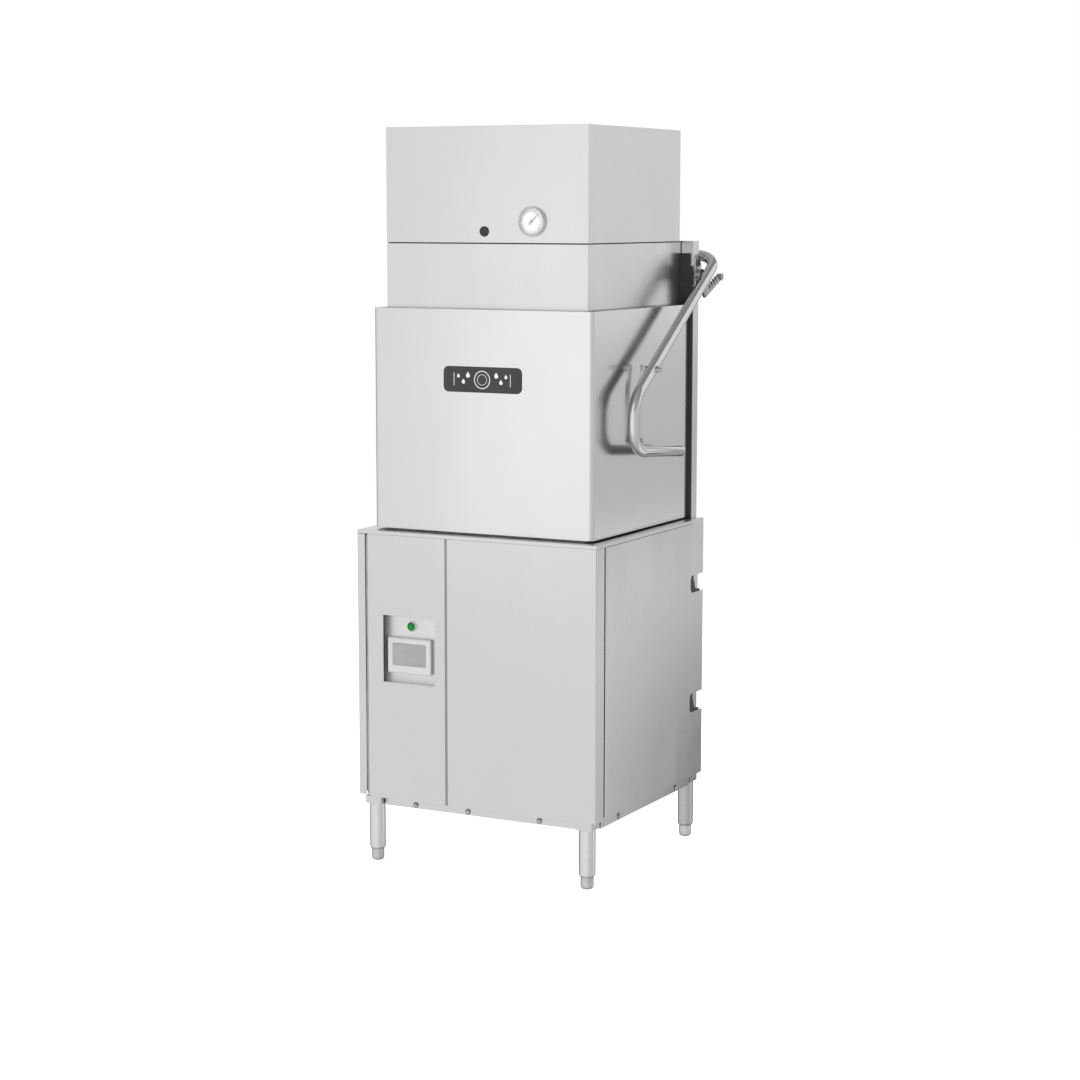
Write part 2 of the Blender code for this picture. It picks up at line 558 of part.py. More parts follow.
def gauge_and_plug():
    front = (GAUGE[0], back(TOP_DEPTH[0]), GAUGE[1])
    turned("temperature_gauge", [(0.0, 0.030), (0.0100, 0.030), (0.0100, -GAP), (0.0365, -GAP),
                                 (0.0365, -0.0100), (0.0350, -0.0115), (0.0322, -0.0115),
                                 (0.0312, -0.0050), (0.0, -0.0050)], front, "Y", "dial_white", 28)
    needle = prism("gauge_needle", [(GAUGE[0] - 0.0022, GAUGE[1] - 0.010), (GAUGE[0] + 0.0022, GAUGE[1] - 0.010),
                                    (GAUGE[0] + 0.0008, GAUGE[1] + 0.026), (GAUGE[0] - 0.0008, GAUGE[1] + 0.026)],
                   "Y", (TOP_DEPTH[0] - 0.0070, TOP_DEPTH[0] - 0.0060), "black_polymer")
    weld(needle, [turned("hub", [(0.0038, -0.0082), (0.0038, -0.0053)], front, "Y", None, 16)])
    needle.data.transform(Matrix.Translation(front) @ Matrix.Rotation(math.radians(45), 4, "Y")
                          @ Matrix.Translation(front).inverted())
    turned("hole_plug", [(0.0, 0.006), (0.0100, 0.006), (0.0100, -GAP), (0.0130, -GAP),
                         (0.0125, -0.0022), (0.0090, -0.0030), (0.0, -0.0032)],
           (PLUG[0], back(TOP_DEPTH[0]), PLUG[1]), "Y", "black_polymer", 24)


# ---- hood, handle and counterbalance --------------------------------------------------------------
def hood():
    front, rear = HOOD_DEPTH
    walls = [((0.290, rear), 0), ((HOOD_HALF, rear), 0.002), ((HOOD_HALF, front), 0.015),
             ((-HOOD_HALF, front), 0.015), ((-HOOD_HALF, rear), 0.002), ((-0.290, rear), 0)]
    shell = sheet("hood", walls[::-1], HOOD_Z, "hood_steel")
    collar = [((-HOOD_HALF, rear - 0.0005), 0), ((-HOOD_HALF, front), 0.015), ((HOOD_HALF, front), 0.015),
              ((HOOD_HALF, rear - 0.0005), 0)]
    flange = sheet("collar", collar, (HOOD_Z[1] - SHEET, HOOD_Z[1] - GAP / 3), None, 0.0125)
    weld(shell, [flange])
    for side, sign in SIDES.items():
        at = (0.0, back(HOOD_STUD[0]), HOOD_STUD[1])
        head, tip = sign * (HOOD_HALF - 0.0008), sign * 0.3330
        weld(shell, [round_bar("stud", 0.0050, at, "X", sorted((head, tip)), sides=16),
                     round_bar("washer", 0.0095, at, "X", sorted((head, sign * 0.3245)), sides=16)])
    left, right, low, high = *BADGE_X, *BADGE_Z
    middle = (left + right) / 2
    plate = rounded([((middle, low), 0), ((right, low), BADGE_R), ((right, high), BADGE_R),
                     ((left, high), BADGE_R), ((left, low), BADGE_R), ((middle - GAP, low), 0)], 5)
    prism("hood_badge", plate, "Y", (front - 0.0023, front - GAP), "badge_black")


def handle_path(sign):
    """Centre line of one side: grip, lower bend, arm and half of the upper bend."""
    arm_foot = (0.172, LIFT_BOLT[1] + (0.172 - LIFT_BOLT[0]) * math.tan(ARM_SLOPE))
    grip = rounded([((0.458, 1.0572), 0), ((0.172, 1.0802), 0.062), (arm_foot, 0.094),
                    (CROSS_TUBE, 0)], 7)
    flat = [Vector((sign * TUBE_X, back(p.x), p.y)) for p in grip[:-1]]
    corner = Vector((sign * TUBE_X, back(CROSS_TUBE[0]), CROSS_TUBE[1]))
    down = (flat[-1] - corner).normalized()
    inward = Vector((-sign, 0, 0))
    radius = UPPER_BEND
    bend = [corner + (down + inward) * radius
            - (inward * math.cos(t) + down * math.sin(t)) * radius
            for t in (math.pi / 2 * k / 7 for k in range(8))]
    return flat + bend


def handle():
    right = handle_path(1)
    left = handle_path(-1)
    tube = sweep("handle", right + left[::-1], TUBE_R, "polished_tube", 12)
    for sign in SIDES.values():
        at = (0.0, back(LIFT_BOLT[0]), LIFT_BOLT[1])
        weld(tube, [round_bar("bolt", 0.0048, at, "X", sorted((sign * 0.3345, sign * 0.382)), sides=16),
                    round_bar("nut", 0.0085, at, "X", sorted((sign * 0.3350, sign * 0.3425)), sides=6),
                    round_bar("nut", 0.0085, at, "X", sorted((sign * 0.3685, sign * 0.3745)), sides=6)])


def spring_levers():
    """Notched levers that stand back from the handle's pivot bosses."""
    near, far = Vector((0.655, 1.4500)), Vector((0.7580, 1.4955))
    along = (far - near).normalized()
    across = Vector((-along.y, along.x))
    half = 0.0068
    teeth = []
    count = 6
    for k in range(count):
        start = near + along * (0.012 + 0.0155 * k) + across * (half + 0.006)
        teeth += [start, start + along * 0.003 - across * 0.0100,
                  start + along * 0.0075 - across * 0.0100, start + along * 0.0105]
    boss = arc_points(PIVOT, 0.013, math.radians(120), math.radians(250), 8)
    outline = ([Vector(p) for p in boss] + [near - across * half, far - across * half]
               + [far + across * half] + teeth[:3:-1] + [near + along * 0.030 + across * 0.030])
    for side, sign in SIDES.items():
        lever = prism(f"spring_lever_{side}", outline, "X", sorted((sign * 0.3255, sign * 0.3335)),
                      "cast_steel")
        at = (0.0, back(PIVOT[0]), PIVOT[1])
        tip = (0.0, back(far.x), far.y)
        weld(lever, [round_bar("boss", 0.0150, at, "X", sorted((sign * 0.3245, sign * 0.3405)), sides=20),
                     round_bar("tip", 0.0090, tip, "X", sorted((sign * 0.3250, sign * 0.3365)), sides=16)])
        cut(lever, [round_bar("bore", PIN_R + 0.0001, at, "X", sorted((sign * 0.32, sign * 0.345)), sides=24)])


def lift_links():
    """Curved flat links between the handle's lift bolts and the hood's studs."""
    top, bottom = Vector(LIFT_BOLT), Vector(HOOD_STUD)
    run = bottom - top
    bulge = Vector((-run.y, run.x)).normalized() * -0.010
    spine = [top + run * t + bulge * math.sin(math.pi * t) for t in (k / 8 for k in range(9))]
    half = 0.0080
    steer = math.atan2(run.y, run.x)
    upper = arc_points(top, 0.0105, steer + math.radians(270 - 30), steer + math.radians(90 + 30), 8)
    lower = arc_points(bottom, 0.0105, steer - math.radians(60), steer + math.radians(60), 6)
    side_way = Vector((-run.y, run.x)).normalized() * half
    outline = ([Vector(p) for p in lower] + [p + side_way for p in spine[1:-1]][::-1]
               + [Vector(p) for p in upper[::-1]] + [p - side_way for p in spine[1:-1]])
    for side, sign in SIDES.items():
        link = prism(f"lift_link_{side}", outline, "X", sorted((sign * 0.3250, sign * 0.3300)),
                     "polished_tube", 30)
        at = (0.0, back(HOOD_STUD[0]), HOOD_STUD[1])
        cut(link, [round_bar("bore", 0.0052, at, "X", sorted((sign * 0.32, sign * 0.34)), sides=16)])


def springs():
    for side, sign in SIDES.items():
        at = (sign * SPRING_X, back(SPRING_DEPTH), 0.0)
        turned(f"counter_spring_{side}", [(0.0, SPRING_Z[1]), (0.004, SPRING_Z[1]), (0.006, 1.500),
                                          (0.016, 1.485), (0.016, 0.850), (0.006, 0.835),
                                          (0.004, SPRING_Z[0]), (0.0, SPRING_Z[0])], at, "Z", "galvanised", 16)
    angle = [(0.6363, 0.7700), (0.6363, 0.8000), (0.7050, 0.8000), (0.7050, 0.7970), (0.6393, 0.7970),
             (0.6393, 0.7700)]
    prism("spring_anchor", angle, "X", (-0.285, 0.285), "galvanised")


def main():
    for old in list(bpy.data.objects):
        bpy.data.objects.remove(old)
    for name, look in FINISHES.items():
        finish(name, *look)
    base_frame()
    legs()
    side_panels()
    front_panels()
    rear_panel()
    controls()
    wash_tank()
    rack_track()
    spray_system()
    tank_fittings()
    machinery()
    columns()
    pivot_brackets()
    chamber()
    heat_recovery()
    gauge_and_plug()
    hood()
    handle()
    spring_levers()
    lift_links()
    springs()


main()
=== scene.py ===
import json
import math

import bmesh
import bpy
from mathutils import Matrix, Vector


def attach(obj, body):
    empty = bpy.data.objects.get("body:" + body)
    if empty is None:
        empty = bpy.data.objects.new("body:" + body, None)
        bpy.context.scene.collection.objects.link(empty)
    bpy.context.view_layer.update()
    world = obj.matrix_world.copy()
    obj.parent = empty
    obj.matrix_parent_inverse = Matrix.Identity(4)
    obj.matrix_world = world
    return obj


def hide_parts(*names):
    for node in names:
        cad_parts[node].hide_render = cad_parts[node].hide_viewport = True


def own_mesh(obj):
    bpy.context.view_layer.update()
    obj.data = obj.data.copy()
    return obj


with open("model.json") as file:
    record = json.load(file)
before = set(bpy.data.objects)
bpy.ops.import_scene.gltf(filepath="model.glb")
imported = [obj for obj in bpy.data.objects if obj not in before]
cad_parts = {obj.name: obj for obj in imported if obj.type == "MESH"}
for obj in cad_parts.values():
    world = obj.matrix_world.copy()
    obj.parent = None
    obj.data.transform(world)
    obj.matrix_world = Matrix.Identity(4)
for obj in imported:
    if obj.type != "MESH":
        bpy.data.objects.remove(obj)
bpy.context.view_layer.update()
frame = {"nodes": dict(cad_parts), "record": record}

FRONT_Y = -0.3835            # cabinet's front face
SPINDLE_Y = FRONT_Y + 0.330  # axis of the spray arms
SIDES = {"left": -1, "right": 1}
LEG_X = 0.303
LEG_DEPTHS = {"front": 0.0293, "rear": 0.6235}
SKIRT_SCREWS_X = (-0.1862, -0.0330, 0.1710)
SKIRT_SCREWS_DEPTH = (0.160, 0.505)
SKIRT_SIDE = 0.3262          # outer face of the skirt's side rails, with clearance
REAR_SCREWS_Z = (0.345, 0.500, 0.655, 0.810)
GUIDE_BOLTS_Z = (1.526, 1.477)
CUTOUTS = {"lower": (0.350, 0.400), "upper": (0.671, 0.717)}
TUBE_R = 0.014               # handle tube
TUBE_X = 0.355
PIVOT = (0.618, 1.5044)      # handle pivot: depth, height
CROSS_TUBE = (0.691, 1.5535)
UPPER_BEND = 0.064           # radius at each end of the cross tube
LIFT_BOLT = (0.280, 1.2772)
HOOD_STUD = (0.276, 1.0975)
ARM_SLOPE = math.radians(33.9)
RECESS_FLOOR = 0.021
BUTTON = (-0.1917, 0.622)
GAUGE = (0.131, 1.643)
PLUG = (-0.003, 1.6185)
TOP_FRONT = 0.063            # depth of the heat-recovery box's front face
HOOD_FRONT = 0.0366
BADGE = (0.0055, 1.254)      # middle of the badge
SPRING_X = 0.262
SPRING_DEPTH = 0.6925
SPRING_Z = (0.8003, 1.5390)
PUMP_Z = 0.500

NODE_BODY = {n: b for b, members in frame["record"]["behaviour"]["bodies"].items() for n in members}


def back(depth):
    """World Y of a point that lies this far behind the cabinet's front face."""
    return FRONT_Y + depth


# ---- node materials
def start(name):
    """A new material with its node tree and its main shader."""
    material = bpy.data.materials.new(name)
    material.use_nodes = True
    return material, material.node_tree, material.node_tree.nodes["Principled BSDF"]


def add(tree, kind, inputs=None, **settings):
    """Add a node; its inputs are plain values or sockets to link from."""
    made = tree.nodes.new(kind)
    for key, value in settings.items():
        setattr(made, key, value)
    for key, value in (inputs or {}).items():
        socket = made.inputs[key]
        if isinstance(value, bpy.types.NodeSocket):
            tree.links.new(value, socket)
        else:
            socket.default_value = value
    return made


def axes(tree, output="Object"):
    """X, Y and Z of the object's coordinates, of its normal or, in the studio, of the way out."""
    return add(tree, "ShaderNodeSeparateXYZ",
               {"Vector": add(tree, "ShaderNodeTexCoord").outputs[output]}).outputs


def far_from(tree, point):
    """Distance to a point of the machine's frame."""
    return add(tree, "ShaderNodeVectorMath", {0: add(tree, "ShaderNodeTexCoord").outputs["Object"], 1: point},
               operation="DISTANCE").outputs["Value"]


def here(tree, scale):
    """Object coordinates, which are metres in the machine's frame, stretched by one scale or by three."""
    stretch = scale if isinstance(scale, tuple) else (scale,) * 3
    at = add(tree, "ShaderNodeTexCoord").outputs["Object"]
    return add(tree, "ShaderNodeMapping", {"Vector": at, "Scale": stretch}).outputs["Vector"]


def noise(tree, scale, detail=3.0, roughness=0.5):
    """Grey noise, so many spots to the metre."""
    return add(tree, "ShaderNodeTexNoise", {"Vector": here(tree, scale), "Scale": 1.0, "Detail": detail,
                                            "Roughness": roughness}).outputs["Fac"]


def span(tree, value, low, high, start_at=0.0, end_at=1.0):
    """Map a value from one range to another, clamped."""
    return add(tree, "ShaderNodeMapRange", {"Value": value, "From Min": start_at, "From Max": end_at,
                                            "To Min": low, "To Max": high}).outputs["Result"]


def mix_colour(tree, fac, first, second):
    made = tree.nodes.new("ShaderNodeMix")
    made.data_type = "RGBA"
    colours = [socket for socket in made.inputs if socket.type == "RGBA"]
    for socket, value in zip(colours, (first, second)):
        if isinstance(value, bpy.types.NodeSocket):
            tree.links.new(value, socket)
        else:
            socket.default_value = (*value, 1.0)
    if isinstance(fac, bpy.types.NodeSocket):
        tree.links.new(fac, made.inputs[0])
    else:
        made.inputs[0].default_value = fac
    return [socket for socket in made.outputs if socket.type == "RGBA"][0]


def math_node(tree, operation, first, second=0.5):
    return add(tree, "ShaderNodeMath", {0: first, 1: second}, operation=operation).outputs[0]


def weighted(tree, first, share, second):
    """A share of the first value and the rest of the second."""
    return math_node(tree, "ADD", math_node(tree, "MULTIPLY", first, share),
                     math_node(tree, "MULTIPLY", second, 1.0 - share))


def surface(tree, shader, colour, roughness, metallic=0.0):
    tree.links.new(colour, shader.inputs["Base Color"])
    tree.links.new(roughness, shader.inputs["Roughness"])
    shader.inputs["Metallic"].default_value = metallic


def bump(tree, shader, height, strength, distance):
    made = add(tree, "ShaderNodeBump", {"Height": height, "Strength": strength, "Distance": distance})
    tree.links.new(made.outputs["Normal"], shader.inputs["Normal"])


def brushed(name, dark, light, gloss, grain, depth=0.00002):
    """Stainless sheet: a fine directional grain, faint cloudy wipe marks and a soft mottle."""
    material, tree, shader = start(name)
    streak = noise(tree, tuple(g * 0.22 for g in grain), 4.0)
    cloud = noise(tree, (2.6, 2.6, 1.9), 5.0, 0.62)
    wipe = noise(tree, (7.0, 7.0, 3.0), 2.0)
    grainy = weighted(tree, noise(tree, grain, 2.0), 0.55, streak)
    tone = span(tree, weighted(tree, grainy, 0.45, cloud), 0, 1, 0.2, 0.8)
    worn = math_node(tree, "ADD", span(tree, grainy, gloss - 0.01, gloss + 0.02, 0.3, 0.7),
                     span(tree, wipe, -0.025, 0.05, 0.35, 0.75))
    surface(tree, shader, mix_colour(tree, tone, dark, light), worn, 1.0)
    bump(tree, shader, grainy, 0.03, depth)
    return material


def turned_steel(name, dark, light, gloss, rings=900.0, depth=0.00002, inner=None):
    """Tube, bar and turned fittings: fine rings, small nicks and, if given, a darker side facing inward,
    which is painted shade.
    """
    material, tree, shader = start(name)
    ring = noise(tree, (60.0, 60.0, rings), 2.0)
    nick = noise(tree, 45.0, 6.0, 0.7)
    colour = mix_colour(tree, span(tree, weighted(tree, ring, 0.5, nick), 0, 1, 0.35, 0.65), dark, light)
    # Painted shade: with inner given, the side that faces inward, towards the hood, is darkened to that
    # colour.
    if inner:
        side = math_node(tree, "SIGN", axes(tree)["X"])
        inward = math_node(tree, "MULTIPLY", side, axes(tree, "Normal")["X"])
        colour = mix_colour(tree, span(tree, inward, 1.0, 0.0, -0.75, -0.05), colour, inner)
    surface(tree, shader, colour, span(tree, nick, gloss - 0.03, gloss + 0.07, 0.35, 0.7), 1.0)
    bump(tree, shader, ring, 0.25, depth)
    return material


def cast(name, dark, light, gloss):
    """Dull cast or sheared metal with a pebbled skin."""
    material, tree, shader = start(name)
    pebble = noise(tree, 700.0, 4.0, 0.6)
    patch = span(tree, noise(tree, 30.0, 4.0), 0, 1, 0.3, 0.7)
    surface(tree, shader, mix_colour(tree, patch, dark, light),
            span(tree, pebble, gloss - 0.06, gloss + 0.10, 0.3, 0.7), 1.0)
    bump(tree, shader, pebble, 0.5, 0.00015)
    return material


def zinc(name, dark, light):
    """Zinc plating with its crystal spangle."""
    material, tree, shader = start(name)
    cells = add(tree, "ShaderNodeTexVoronoi", {"Vector": here(tree, 160.0), "Scale": 1.0})
    spangle = add(tree, "ShaderNodeSeparateColor", {"Color": cells.outputs["Color"]}).outputs["Red"]
    tone = span(tree, weighted(tree, spangle, 0.45, noise(tree, 14.0, 4.0)), 0, 1, 0.2, 0.8)
    surface(tree, shader, mix_colour(tree, tone, dark, light), span(tree, spangle, 0.34, 0.50), 1.0)
    bump(tree, shader, spangle, 0.2, 0.00004)
    return material


def liner(name):
    """Painted shade for the recess's side wall: a dark sheet, near black at its front edge and paling to grey
    towards its back one.
    """
    material, tree, shader = start(name)
    pale = span(tree, axes(tree)["Y"], 0.0, 1.0, back(0.006), back(0.019))
    fleck = noise(tree, 800.0, 3.0)
    front = mix_colour(tree, fleck, (0.030, 0.030, 0.031), (0.050, 0.050, 0.051))
    rear = mix_colour(tree, fleck, (0.20, 0.20, 0.20), (0.26, 0.26, 0.26))
    surface(tree, shader, mix_colour(tree, pale, front, rear), span(tree, fleck, 0.45, 0.62, 0.3, 0.7))
    return material


def plastic(name, dark, light, gloss, texture=900.0, depth=0.00003, coat=0.0):
    """Moulded plastic or paint: a fine spark texture with slight cloudiness."""
    material, tree, shader = start(name)
    spark = noise(tree, texture, 3.0, 0.6)
    cloud = span(tree, noise(tree, 18.0, 3.0), 0, 1, 0.3, 0.7)
    surface(tree, shader, mix_colour(tree, cloud, dark, light),
            span(tree, spark, gloss - 0.05, gloss + 0.07, 0.3, 0.7))
    shader.inputs["Coat Weight"].default_value = coat
    bump(tree, shader, spark, 0.3, depth)
    return material


def dial_paint(name):
    """White enamel, a touch greyer towards the rim, which is painted shade under the case's lip."""
    material, tree, shader = start(name)
    speck = noise(tree, 400.0, 3.0)
    # Painted shade: the face greys from 18 mm out towards its rim.
    rim = span(tree, far_from(tree, (GAUGE[0], back(TOP_FRONT), GAUGE[1])), 0.0, 1.0, 0.018, 0.034)
    face = mix_colour(tree, rim, (0.86, 0.88, 0.88), (0.60, 0.61, 0.62))
    surface(tree, shader, mix_colour(tree, span(tree, speck, 0.0, 0.12, 0.4, 0.8), face, (0.7, 0.7, 0.7)),
            span(tree, speck, 0.26, 0.36, 0.3, 0.7))
    return material


def screen_glass(name):
    """Unlit grey display under a satin film, with a faint cell grid."""
    material, tree, shader = start(name)
    grid = add(tree, "ShaderNodeTexBrick", {"Vector": here(tree, 1.0), "Scale": 220.0,
                                            "Mortar Size": 0.03}).outputs["Fac"]
    haze = noise(tree, (16.0, 16.0, 30.0), 3.0)
    base = mix_colour(tree, span(tree, haze, 0, 1, 0.3, 0.7), (0.255, 0.264, 0.272), (0.285, 0.290, 0.294))
    lines = math_node(tree, "MULTIPLY", grid, 0.15)
    surface(tree, shader, mix_colour(tree, lines, base, (0.25, 0.26, 0.27)),
            span(tree, haze, 0.20, 0.30, 0.3, 0.7))
    shader.inputs["Coat Weight"].default_value = 0.3
    return material


def lens_green(name):
    """Deep green lens, lighter where light gathers in the middle of the dome."""
    material, tree, shader = start(name)
    middle = (BUTTON[0] + 0.001, back(RECESS_FLOOR), BUTTON[1] - 0.001)
    glow = span(tree, far_from(tree, middle), 1.0, 0.0, 0.0078, 0.0126)
    ribs = add(tree, "ShaderNodeTexWave", {"Vector": here(tree, 1.0), "Scale": 260.0, "Distortion": 0.4},
               bands_direction="X").outputs["Fac"]
    body = mix_colour(tree, glow, (0.0, 0.055, 0.009), (0.0, 0.250, 0.026))
    lines = math_node(tree, "MULTIPLY", ribs, 0.12)
    surface(tree, shader, mix_colour(tree, lines, body, (0.001, 0.30, 0.04)), span(tree, ribs, 0.30, 0.38))
    tree.links.new(mix_colour(tree, glow, (0.0, 0.0, 0.0), (0.0, 0.20, 0.025)),
                   shader.inputs["Emission Color"])
    shader.inputs["Emission Strength"].default_value = 0.30
    shader.inputs["Specular IOR Level"].default_value = 0.15
    return material


def copper_metal(name):
    material, tree, shader = start(name)
    stain = noise(tree, 24.0, 5.0, 0.65)
    colour = mix_colour(tree, span(tree, stain, 0, 1, 0.35, 0.7), (0.76, 0.42, 0.27), (0.42, 0.20, 0.12))
    surface(tree, shader, colour, span(tree, stain, 0.22, 0.45, 0.35, 0.7), 1.0)
    bump(tree, shader, noise(tree, 300.0, 3.0), 0.2, 0.00003)
    return material


def clear_glass(name):
    """Gauge window: mostly see-through, with a thin shine that grows towards the edge."""
    material, tree, shader = start(name)
    smear = noise(tree, 60.0, 3.0)
    surface(tree, shader, mix_colour(tree, smear, (0.97, 0.98, 0.98), (0.94, 0.96, 0.96)),
            span(tree, smear, 0.03, 0.10, 0.3, 0.7))
    sheen = add(tree, "ShaderNodeLayerWeight", {"Blend": 0.25}).outputs["Fresnel"]
    tree.links.new(span(tree, sheen, 0.05, 0.40), shader.inputs["Alpha"])
    return material


VERTICAL = (900.0, 900.0, 14.0)
ALONG_X = (14.0, 900.0, 900.0)
RECIPES = [
    ("panel_steel", brushed, (0.645, 0.648, 0.650), (0.675, 0.678, 0.680), 0.27, VERTICAL),
    ("hood_steel", brushed, (0.672, 0.680, 0.690), (0.708, 0.716, 0.726), 0.17, VERTICAL, 0.00001),
    ("chamber_steel", brushed, (0.650, 0.656, 0.664), (0.690, 0.696, 0.704), 0.28, VERTICAL, 0.00001),
    ("deck_steel", brushed, (0.655, 0.658, 0.660), (0.690, 0.693, 0.695), 0.28, ALONG_X),
    ("recess_steel", brushed, (0.74, 0.74, 0.745), (0.80, 0.80, 0.805), 0.46, (260.0, 260.0, 14.0)),
    ("seam_steel", brushed, (0.30, 0.30, 0.305), (0.38, 0.38, 0.385), 0.40, (300.0, 300.0, 12.0)),
    ("weld_mark", brushed, (0.50, 0.505, 0.51), (0.60, 0.605, 0.61), 0.36, (500.0, 500.0, 500.0)),
    ("polished_tube", turned_steel, (0.60, 0.60, 0.59), (0.72, 0.72, 0.71), 0.12),
    # handle_steel's last colour is the painted shade on the tube's inward side.
    ("handle_steel", turned_steel, (0.62, 0.62, 0.61), (0.74, 0.74, 0.73), 0.12, 900.0, 0.00002,
     (0.17, 0.17, 0.16)),
    ("leg_tube", turned_steel, (0.68, 0.68, 0.67), (0.75, 0.75, 0.74), 0.13, 500.0, 0.000006),
    ("shaded_tube", turned_steel, (0.44, 0.44, 0.43), (0.52, 0.52, 0.51), 0.16, 500.0, 0.000006),
    ("chrome", turned_steel, (0.62, 0.62, 0.63), (0.74, 0.74, 0.75), 0.09, 300.0),
    ("spring_wire", turned_steel, (0.40, 0.41, 0.42), (0.58, 0.59, 0.60), 0.26, 260.0),
    ("screw_steel", turned_steel, (0.50, 0.50, 0.50), (0.66, 0.66, 0.66), 0.22, 400.0),
    ("cast_steel", cast, (0.36, 0.36, 0.355), (0.52, 0.52, 0.51), 0.40),
    ("foot_steel", cast, (0.52, 0.52, 0.515), (0.64, 0.64, 0.63), 0.30),
    ("galvanised", zinc, (0.46, 0.48, 0.50), (0.64, 0.66, 0.67)),
    ("copper", copper_metal),
    ("black_polymer", plastic, (0.009, 0.009, 0.010), (0.020, 0.020, 0.021), 0.42),
    ("grey_polymer", plastic, (0.47, 0.475, 0.485), (0.52, 0.525, 0.535), 0.45),
    ("badge_black", plastic, (0.010, 0.010, 0.011), (0.019, 0.019, 0.021), 0.30, 600.0, 0.00003, 0.2),
    ("badge_pale", plastic, (0.62, 0.63, 0.64), (0.70, 0.71, 0.72), 0.34, 600.0),
    ("motor_paint", plastic, (0.055, 0.070, 0.095), (0.085, 0.100, 0.130), 0.34, 500.0, 0.00006),
    ("scale_ink", plastic, (0.16, 0.17, 0.17), (0.24, 0.25, 0.25), 0.5),
    ("needle_ink", plastic, (0.22, 0.25, 0.25), (0.30, 0.33, 0.33), 0.4),
    ("liner", liner),
    ("dial_white", dial_paint),
    ("screen_glass", screen_glass),
    ("green_lens", lens_green),
    ("gauge_glass", clear_glass),
]
LOOKS = {name: make(name, *settings) for name, make, *settings in RECIPES}


# ---- pieces
def piece(name, bm, body, look, smooth=35, bevel=0.0, segments=2, stands_for=()):
    """Turn a bmesh into a finished piece that rides on a body."""
    mesh = bpy.data.meshes.new(name)
    bm.to_mesh(mesh)
    bm.free()
    mesh.materials.clear()
    mesh.materials.append(LOOKS[look])
    mesh.shade_smooth()
    mesh.set_sharp_from_angle(angle=math.radians(smooth))
    obj = bpy.data.objects.new(name, mesh)
    bpy.context.collection.objects.link(obj)
    if bevel:
        edge = obj.modifiers.new("edges", "BEVEL")
        edge.width = bevel
        edge.segments = segments
        edge.limit_method = "ANGLE"
        edge.angle_limit = math.radians(smooth)
        edge.harden_normals = True
        edge.use_clamp_overlap = True
        edge.miter_outer = "MITER_ARC"
        even = obj.modifiers.new("shading", "WEIGHTED_NORMAL")
        even.weight = 100
        even.keep_sharp = True
    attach(obj, body)
    if stands_for:
        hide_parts(*stands_for)
    return obj


def refine(node, look, bevel=0.0004, smooth=35, segments=2):
    """The CAD node's own shape with its flat faces joined up and its edges broken."""
    bm = bmesh.new()
    bm.from_mesh(frame["nodes"][node].data)
    bmesh.ops.remove_doubles(bm, verts=bm.verts, dist=0.00002)
    bmesh.ops.dissolve_limit(bm, angle_limit=math.radians(0.6), verts=bm.verts, edges=bm.edges,
                             use_dissolve_boundaries=False, delimit=set())
    wide = [face for face in bm.faces if len(face.verts) > 4]
    bmesh.ops.triangulate(bm, faces=wide, ngon_method="EAR_CLIP")
    bmesh.ops.recalc_face_normals(bm, faces=bm.faces)
    return piece(f"{node}_skin", bm, NODE_BODY[node], look, smooth, bevel, segments, (node,))


def around(count, turn=0.0):
    """Cosine and sine of evenly spaced angles, the first of them turn."""
    angles = [turn + 2 * math.pi * k / count for k in range(count)]
    return [(math.cos(a), math.sin(a)) for a in angles]


def bridge(bm, first, second):
    """Join two rings of as many points with four-sided faces."""
    following = [(k + 1) % len(first) for k in range(len(first))]
    return [bm.faces.new((first[k], first[n], second[n], second[k])) for k, n in enumerate(following)]


def band(bm, rings):
    """Join rings one to the next and the last to the first."""
    made = []
    for first, second in zip(rings, rings[1:] + rings[:1]):
        made += bridge(bm, first, second)
    bmesh.ops.recalc_face_normals(bm, faces=made)


def aim(centre, axis):
    """Matrix that turns Z onto a world axis and moves the origin to centre."""
    turn = {"Z": Matrix(), "X": Matrix.Rotation(math.pi / 2, 4, "Y"),
            "Y": Matrix.Rotation(-math.pi / 2, 4, "X")}[axis]
    return Matrix.Translation(centre) @ turn


def lathe(bm, profile, centre, axis, sides=48, closed=False):
    """Add (radius, along) points turned about an axis through centre to bm."""
    place = aim(centre, axis)
    rings = []
    for radius, along in profile:
        spots = around(sides) if radius else [(0, 0)]
        rings.append([bm.verts.new(place @ Vector((radius * c, radius * s, along))) for c, s in spots])
    pairs = list(zip(rings, rings[1:]))
    if closed:
        pairs.append((rings[-1], rings[0]))
    made = []
    for ring, following in pairs:
        for k in range(sides):
            n = (k + 1) % sides
            corners = [ring[k % len(ring)], ring[n % len(ring)],
                       following[n % len(following)], following[k % len(following)]]
            made.append(bm.faces.new(list(dict.fromkeys(corners))))
    if not closed:
        for ring in (rings[0], rings[-1]):
            if len(ring) > 1:
                made.append(bm.faces.new(ring))
    bmesh.ops.recalc_face_normals(bm, faces=made)
    return bm


def tube(bm, path, radius, sides=24):
    """Add a solid bar that follows a 3-D path to bm."""
    points = [Vector(p) for p in path]
    normal = (points[1] - points[0]).orthogonal().normalized()
    rings, made = [], []
    for index, point in enumerate(points):
        ahead = points[min(index + 1, len(points) - 1)] - point
        behind = point - points[max(index - 1, 0)]
        tangent = (ahead.normalized() + behind.normalized()).normalized()
        normal = (normal - tangent * normal.dot(tangent)).normalized()
        side = tangent.cross(normal)
        r = radius[index] if isinstance(radius, list) else radius
        rings.append([bm.verts.new(point + (normal * c + side * s) * r) for c, s in around(sides)])
    for ring, following in zip(rings, rings[1:]):
        made += bridge(bm, ring, following)
    made.append(bm.faces.new(rings[0][::-1]))
    made.append(bm.faces.new(rings[-1]))
    bmesh.ops.recalc_face_normals(bm, faces=made)
    return bm


